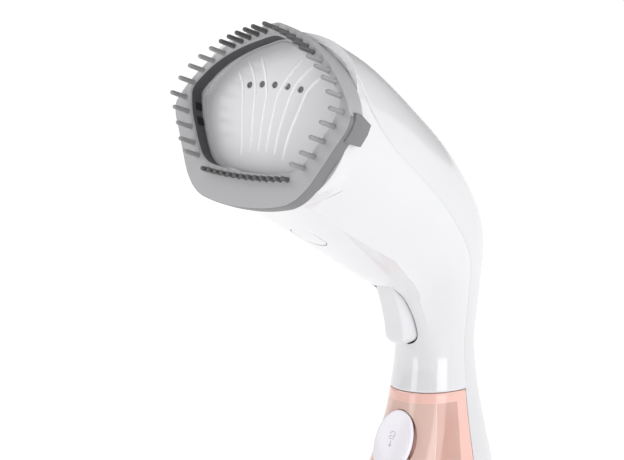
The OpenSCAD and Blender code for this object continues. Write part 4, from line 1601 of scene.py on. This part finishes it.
# ------------------------------------------------------------------ tank
@dataclass
class WaterTank:
    """The translucent tank: front wall, inner parts, lid and latch."""

    gap: float = 0.4
    thin: float = 2.0
    base: float = 2.9
    crest: float = 104.6
    sunk: float = 0.2
    side_inset: float = 1.9
    mouth_y: float = -11.5
    mouth_r: float = 8.55
    window: tuple[Pair, ...] = (
        (0, 326), (60, 322.5), (70, 321.7), (85, 320.2), (99, 318.5), (106, 318),
    )
    flange: tuple[Pair, ...] = (
        (0, 350), (60, 347.4), (75, 346.5), (90, 345.5), (99, 344.5), (106, 344),
    )

    def top(self, y: float) -> float:
        """Gives the height of the tank's top edge at y."""
        return BODY.seam_z(y) - 0.45

    def skin(self, z: float, w: float, inset: float) -> Vector:
        """Gives a point of the tank's wall, its upper half drawn up to the slanted edge.

        Args:
            z: height in mm, before it is drawn up.
            w: angle round the section, degrees.
            inset: depth below the wall's outside, in mm.

        Returns:
            The point, in mm.
        """
        p = BODY.at(BODY.t_at(z), w, inset + self.sunk)
        y = min(p.y, -self.gap)
        rise = (self.top(y) - self.crest) * ease(z, 55, self.crest)
        return Vector((p.x, y, z + rise))

    def angles(self, z: float) -> list[float]:
        """Gives the angles of the wall's columns, which follow the window's edges.

        Args:
            z: height in mm.

        Returns:
            The angles in degrees, from 180 to 360.
        """
        line, side = follow(self.window, z), follow(self.flange, z)
        marks_at = [270, line - 2.2, line, side, side + 1.2, 360]
        steps = [22, 2, 12, 2, 8]
        right = [270.0]
        for a, b, n in zip(marks_at, marks_at[1:], steps, strict=False):
            right += [a + (b - a) * k / n for k in range(1, n + 1)]
        return [540 - w for w in reversed(right[1:])] + right

    def front_wall(self) -> bpy.types.Object:
        """Builds the curved wall, thick at its rim, sides and foot.

        Returns:
            The piece.
        """
        low = list(np.linspace(self.base + 1.2, 98.9, 44))
        heights = [self.base, self.base + 0.25, self.base + 0.6, *low]
        heights += [99.6, 100.2, 101.3, 102.8, 104.0, 104.35, self.crest]
        middle = len(self.angles(50)) // 2
        window_column, flange_column, turn = 22, 36, 0.6

        def zone(i: int, j: int) -> int:
            """Gives a quad's slot: thick edges and lines, side pane, or clear.

            Args:
                i: row up the wall.
                j: column round the wall.

            Returns:
                The material slot.
            """
            m = j - middle if j >= middle else middle - 1 - j
            edge = heights[i] >= 99.5 or heights[i] < self.base + 1.0
            if edge or m >= flange_column or m == window_column:
                return 1
            return 2 if m > window_column else 0

        def sheet(deep: bool) -> Grid:
            """Gives one of the wall's two sheets of points.

            Args:
                deep: whether it is the inside.

            Returns:
                Rows of points up the wall.
            """
            rows = []
            for z in heights:
                row = []
                over = max(0.0, (z - self.crest + turn) / turn)
                under = max(0.0, (self.base + turn - z) / turn)
                for k, w in enumerate(self.angles(z)):
                    depth = 0.3 * over**2 + 0.3 * under**2
                    if deep:
                        depth = self.thin + (2.2 if abs(k - middle) > flange_column else 0.0)
                        depth += 1.8 if z > 99.9 else 0.0
                    row.append(self.skin(z, w, depth))
                rows.append(row)
            return rows

        sketch = Sketch().wall(sheet(False), sheet(True), zone)
        return sketch.make("tank_front_wall", ROSE_CLEAR, ROSE_THICK, ROSE_PANE, sharp=30)

    def liner(self) -> bpy.types.Object:
        """Builds the inner walls seen through the outer one: a panel and a deeper side.

        Returns:
            The piece.
        """
        heights = [self.base + 2, 20, 40, 60, 75, 85, 92, 97, 99.6]

        def sheet(side: int, beyond: bool, deep: float) -> Grid:
            """Gives a sheet of points on one side.

            Args:
                side: 1 for the +X side, -1 for the other.
                beyond: whether it runs on from the window's edge, not up to it.
                deep: depth below the wall's outside, in mm.

            Returns:
                Rows of points up the tank.
            """
            rows = []
            columns = 12 if beyond else 16
            for z in heights:
                line = follow(self.window, z)
                a, b = (line, follow(self.flange, z) + 2) if beyond else (270, line)
                row = []
                for k in range(columns + 1):
                    w = a + (b - a) * k / columns
                    row.append(self.skin(z, w if side > 0 else 540 - w, deep))
                rows.append(row)
            return rows

        def second(i: int, j: int) -> int:
            """Gives the second slot everywhere."""
            return 1

        sketch = Sketch()
        for side in (1, -1):
            sketch.wall(sheet(side, False, 3.2), sheet(side, False, 4.2))
            sketch.wall(sheet(side, True, 6.4), sheet(side, True, 7.4), second)
        return sketch.make("tank_inner_panels", ROSE_INNER, ROSE_DEEP, sharp=30)

    def valve_column(self) -> bpy.types.Object:
        """Builds the dark columns beside the latch, seen through the wall.

        Returns:
            The piece.
        """
        sketch = Sketch()
        # height and radius
        shape = ((12, 2.8), (14, 3.4), (60, 3.4), (76, 3.2), (84, 2.6), (88, 1.7), (90.5, 0.6))
        for side in (1, -1):
            rings = []
            for z, r in shape:
                c = self.skin(z, 300 if side > 0 else 240, 2.35)
                rings.append([
                    c + Vector((r * math.cos(a), 0.75 * r * math.sin(a) + 0.6 * r, 0))
                    for a in around(24)
                ])
            sketch.tube(rings)
        return sketch.make("tank_valve_columns", ROSE_DEEP)

    def back_wall(self) -> bpy.types.Object:
        """Builds the flat wall against the handle's spine.

        Returns:
            The piece.
        """
        sheets: list[Grid] = [[], []]
        for z in np.linspace(self.base, 104.0, 12):
            half = self.skin(z, 360, self.side_inset).x
            for sheet, deep in zip(sheets, (0.02, 1.8), strict=True):
                y = -self.gap - deep
                sheet.append([Vector((k * half, y, z)) for k in np.linspace(-1, 1, 9)])
        return Sketch().wall(*sheets).make("tank_back_wall", ROSE_THICK)

    def lid(self) -> bpy.types.Object:
        """Builds the top plate around the filling mouth.

        Returns:
            The piece.
        """
        count, mouth = 72, Vector((0, self.mouth_y, 0))
        rim = [self.skin(102.2, w, self.side_inset) for w in np.linspace(180, 360, 37)]
        half = rim[-1].x
        rim += [Vector((half * (1 - 2 * k / 36), -1.0, 102)) for k in range(1, 36)]
        rings = []
        for share, z in ((1, 98.6), (1, 101.3), (0.97, 101.6), (0.1, 101.6), (0, 101.4), (0, 98.6)):
            ring = []
            for i in range(count):
                a = Vector((rim[i].x, rim[i].y, 0)) - mouth
                hole = mouth + a.normalized() * self.mouth_r
                p = hole.lerp(mouth + a, share)
                ring.append(Vector((p.x, p.y, z)))
            rings.append(ring)
        return Sketch().ring(rings).make("tank_top_plate", ROSE_THICK, sharp=35)

    def build(self) -> None:
        """Builds and hangs the tank's pieces."""
        wall = carve(self.front_wall(), Latch().pocket(0.45, 3.0))
        place_piece(wall, "tank", "rose_tank", "tank_shell")
        liner = carve(self.liner(), Latch().pocket(1.0, 9.5))
        place_piece(liner, "tank", "rose_tank")
        place_piece(self.valve_column(), "tank", "rose_tank")
        place_piece(self.back_wall(), "tank", "rose_tank")
        place_piece(self.lid(), "tank", "rose_tank", "tank_lid")
        place_piece(Latch().tray(), "tank", "rose_tank")


@dataclass
class Latch:
    """The oval latch on the front of the tank, with its seat and its mark."""

    half: float = 10.8
    long: float = 16.6
    thick: float = 3.2
    z: float = 81.3
    proud: float = 2.9
    slope: float = 24.0
    crown: float = 1.0
    room: float = 2.4
    spring_up: float = 7.65
    spring_room: float = 3.4
    line_r: float = 0.12

    def frame(self) -> Matrix:
        """Gives the latch's place: y up the slope, z out of the tank."""
        p = BODY.at(BODY.t_at(self.z), 270)
        turn = Matrix.Rotation(math.radians(90 - self.slope), 4, "X")
        return Matrix.Translation((0, p.y - self.proud, self.z)) @ turn

    def oval(self, scale: float, z: float, grow: float = 0.0) -> list[Vector]:
        """Gives an oval ring of the latch.

        Args:
            scale: share of the latch's size.
            z: height over the latch's place, in mm.
            grow: extra size all round, in mm.

        Returns:
            The ring, in mm.
        """
        place = self.frame()
        return [
            place @ Vector((
                (self.half * scale + grow) * math.cos(a),
                (self.long * scale + grow) * math.sin(a),
                z,
            ))
            for a in around(72)
        ]

    def height(self, scale: float) -> float:
        """Gives the crowned top's height at a share of the latch's size."""
        return 0.25 - self.crown * scale**2.6

    def pocket(self, grow: float, deep: float) -> bpy.types.Object:
        """Makes the solid that cuts the latch's seat."""
        sketch = Sketch().tube([self.oval(1, z, grow) for z in (-self.thick - deep, 14)])
        return sketch.make("pocket", ROSE_THICK)

    def tray(self) -> bpy.types.Object:
        """Builds the seat behind the latch.

        Returns:
            The piece.
        """
        floor = -self.thick - self.room - 1.3
        sketch = Sketch().tube([self.oval(1, z, 0.4) for z in (floor - 0.9, floor)])
        return sketch.make("latch_seat", ROSE_DEEP, sharp=35)

    def plate(self) -> bpy.types.Object:
        """Builds the crowned oval plate, hollow behind for its spring.

        Returns:
            The piece.
        """
        shares = [0.03, 0.15, 0.3, 0.45, 0.6, 0.72, 0.82, 0.9, 0.95]
        rings = [self.oval(s, self.height(s)) for s in shares]
        rings += [self.oval(0.98, -0.78), self.oval(0.995, -1.0), self.oval(1.0, -1.35)]
        rings += [self.oval(1.0, -self.thick + 0.2), self.oval(0.985, -self.thick)]
        plate = Sketch().tube(rings).make("latch_oval", LATCH_WHITE)
        room = self.frame() @ Matrix.Translation((0, self.spring_up, 0))
        rings = turned(room, [(self.spring_room, -8), (self.spring_room, -1.0)], 36)
        hollow = Sketch().tube(rings).make("spring_room", LATCH_WHITE)
        return carve(plate, hollow)

    def mark_tree(self) -> FormTree:
        """Builds the tree that draws the printed mark as slim raised lines.

        Returns:
            The tree.
        """
        form = FormTree("mark")
        radius = form.size("Line radius", self.line_r * MM)
        line = form.add("GeometryNodeMeshToCurve", None, {"Mesh": form.given.outputs["Geometry"]})
        form.close(form.rod(line.outputs[0], radius, 8))
        return form

    def mark(self) -> bpy.types.Object:
        """Builds a plain open padlock over a small arrow.

        Returns:
            The piece.
        """
        place = self.frame()
        shackle = [(1.5 * math.cos(a), 3.7 + 1.6 * math.sin(a)) for a in np.linspace(-0.5, 3.1, 14)]
        arrow = [(-0.9, -1.4), (0.0, -2.6), (0.9, -1.4)]
        stem = [(0.0, -2.4), (0.0, 0.4)]
        box = [(-1.3, 2.9), (1.3, 2.9), (1.3, 1.5), (-1.3, 1.5), (-1.3, 2.9)]
        points: list[Vector] = []
        lines: list[Pair] = []
        for line in (shackle, arrow, stem, box):
            start = len(points)
            for x, y in line:
                share = math.hypot(x / self.half, y / self.long)
                points.append(place @ Vector((x, y, self.height(share) - 0.02)))
            lines += [(i, i + 1) for i in range(start, len(points) - 1)]
        source = marks("latch_mark", points, lines)
        size = {"Line radius": self.line_r * MM}
        return self.mark_tree().bake(source, "latch_mark", PRINT_GREY, size)

    def build(self) -> None:
        """Builds and hangs the latch's pieces."""
        place_piece(self.plate(), "latch", "latch_white", "latch")
        place_piece(self.mark(), "latch", "dark_plastic")


# ------------------------------------------------------------------ studio
@dataclass
class Studio:
    """Pale floor, soft light and the camera."""

    azimuth: float = 39.0
    elevation: float = 10.5
    focal: float = 116.37
    spot: tuple[float, float, float] = (0.58087, -0.81644, 0.36895)
    lamps: tuple[tuple[str, float, float, float, float, float, float], ...] = (
        # name, azimuth, elevation, distance, width, height, power
        ("left_softbox", -52, 34, 1.5, 0.9, 1.2, 7.6),
        ("right_softbox", 124, 26, 1.4, 0.7, 1.3, 7.0),
        ("top_softbox", 60, 80, 1.6, 1.4, 1.4, 6.5),
        ("right_strip", 86, 6, 0.66, 0.3, 0.5, 1.3),
        ("left_strip", 0, 6, 0.66, 0.24, 0.5, 0.8),
    )

    def direction(self, azimuth: float, elevation: float) -> Vector:
        """Gives the unit vector towards a place round the object."""
        a, e = math.radians(azimuth), math.radians(elevation)
        return Vector((math.sin(a) * math.cos(e), -math.cos(a) * math.cos(e), math.sin(e)))

    def floor(self) -> None:
        """Builds the pale floor."""
        sketch = Sketch()
        far = 30000.0
        corners = ((-far, -far), (far, -far), (far, far), (-far, far))
        sketch.points = [Vector((x, y, 0)) for x, y in corners]
        sketch.face((0, 1, 2, 3))
        # Matt painted board, lit from within: even white, no shine
        board = Finish(
            "board_painted_white", "#666666", "#646464", Surface.SATIN, 0.9, 0.02, glow=0.98
        )
        floor = sketch.make("studio_floor", board)
        if floor.data.polygons[0].normal.z < 0:
            floor.data.flip_normals()

    def light(self) -> None:
        """Builds the soft lamps and the even surroundings."""
        aim = Vector((0, -0.05, 0.2))
        for name, azimuth, elevation, distance, wide, high, power in self.lamps:
            lamp = bpy.data.lights.new(name, "AREA")
            lamp.shape = "RECTANGLE"
            lamp.size, lamp.size_y = wide, high
            lamp.energy = power
            holder = bpy.data.objects.new(name, lamp)
            bpy.context.scene.collection.objects.link(holder)
            back = self.direction(azimuth, elevation)
            holder.location = aim + back * distance
            holder.rotation_euler = back.to_track_quat("Z", "Y").to_euler()
        world = bpy.data.worlds.new("studio_air")
        world.use_nodes = True
        tree = world.node_tree
        tree.nodes.clear()
        air = add_node(tree, "ShaderNodeBackground", {"Color": srgb("#FFFFFF"), "Strength": 0.26})
        add_node(tree, "ShaderNodeOutputWorld", None, {"Surface": air.outputs[0]})
        bpy.context.scene.world = world

    def camera(self) -> None:
        """Builds the camera."""
        lens = bpy.data.cameras.new("camera")
        lens.lens = self.focal
        lens.sensor_width = 36.0
        lens.clip_start, lens.clip_end = 0.05, 100.0
        holder = bpy.data.objects.new("camera", lens)
        bpy.context.scene.collection.objects.link(holder)
        holder.location = self.spot
        back = self.direction(self.azimuth, self.elevation)
        holder.rotation_euler = back.to_track_quat("Z", "Y").to_euler()
        bpy.context.scene.camera = holder

    def build(self) -> None:
        """Builds floor, light and camera, with plain colour handling."""
        self.floor()
        self.light()
        self.camera()
        bpy.context.scene.view_settings.view_transform = "Standard"


def dress_carried(nodes: dict[str, bpy.types.Object]) -> None:
    """Gives every solid that stays its finish.

    Args:
        nodes: the solids by name.
    """
    for name, finish in CARRIED.items():
        mesh = nodes[name].data
        mesh.materials.clear()
        mesh.materials.append(finish.material())
        LOG.info("%s carried over as %s", name, finish.name)


def main() -> None:
    """Builds the steamer's looks around its frame."""
    logging.basicConfig(level=logging.INFO, format="%(message)s")
    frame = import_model()
    Studio().build()
    dress_carried(frame["nodes"])
    for part in (Housing(), SteamPlate(), BristleFrame(), Trigger(), WaterTank(), Latch()):
        part.build()


if __name__ == "__main__":
    main()
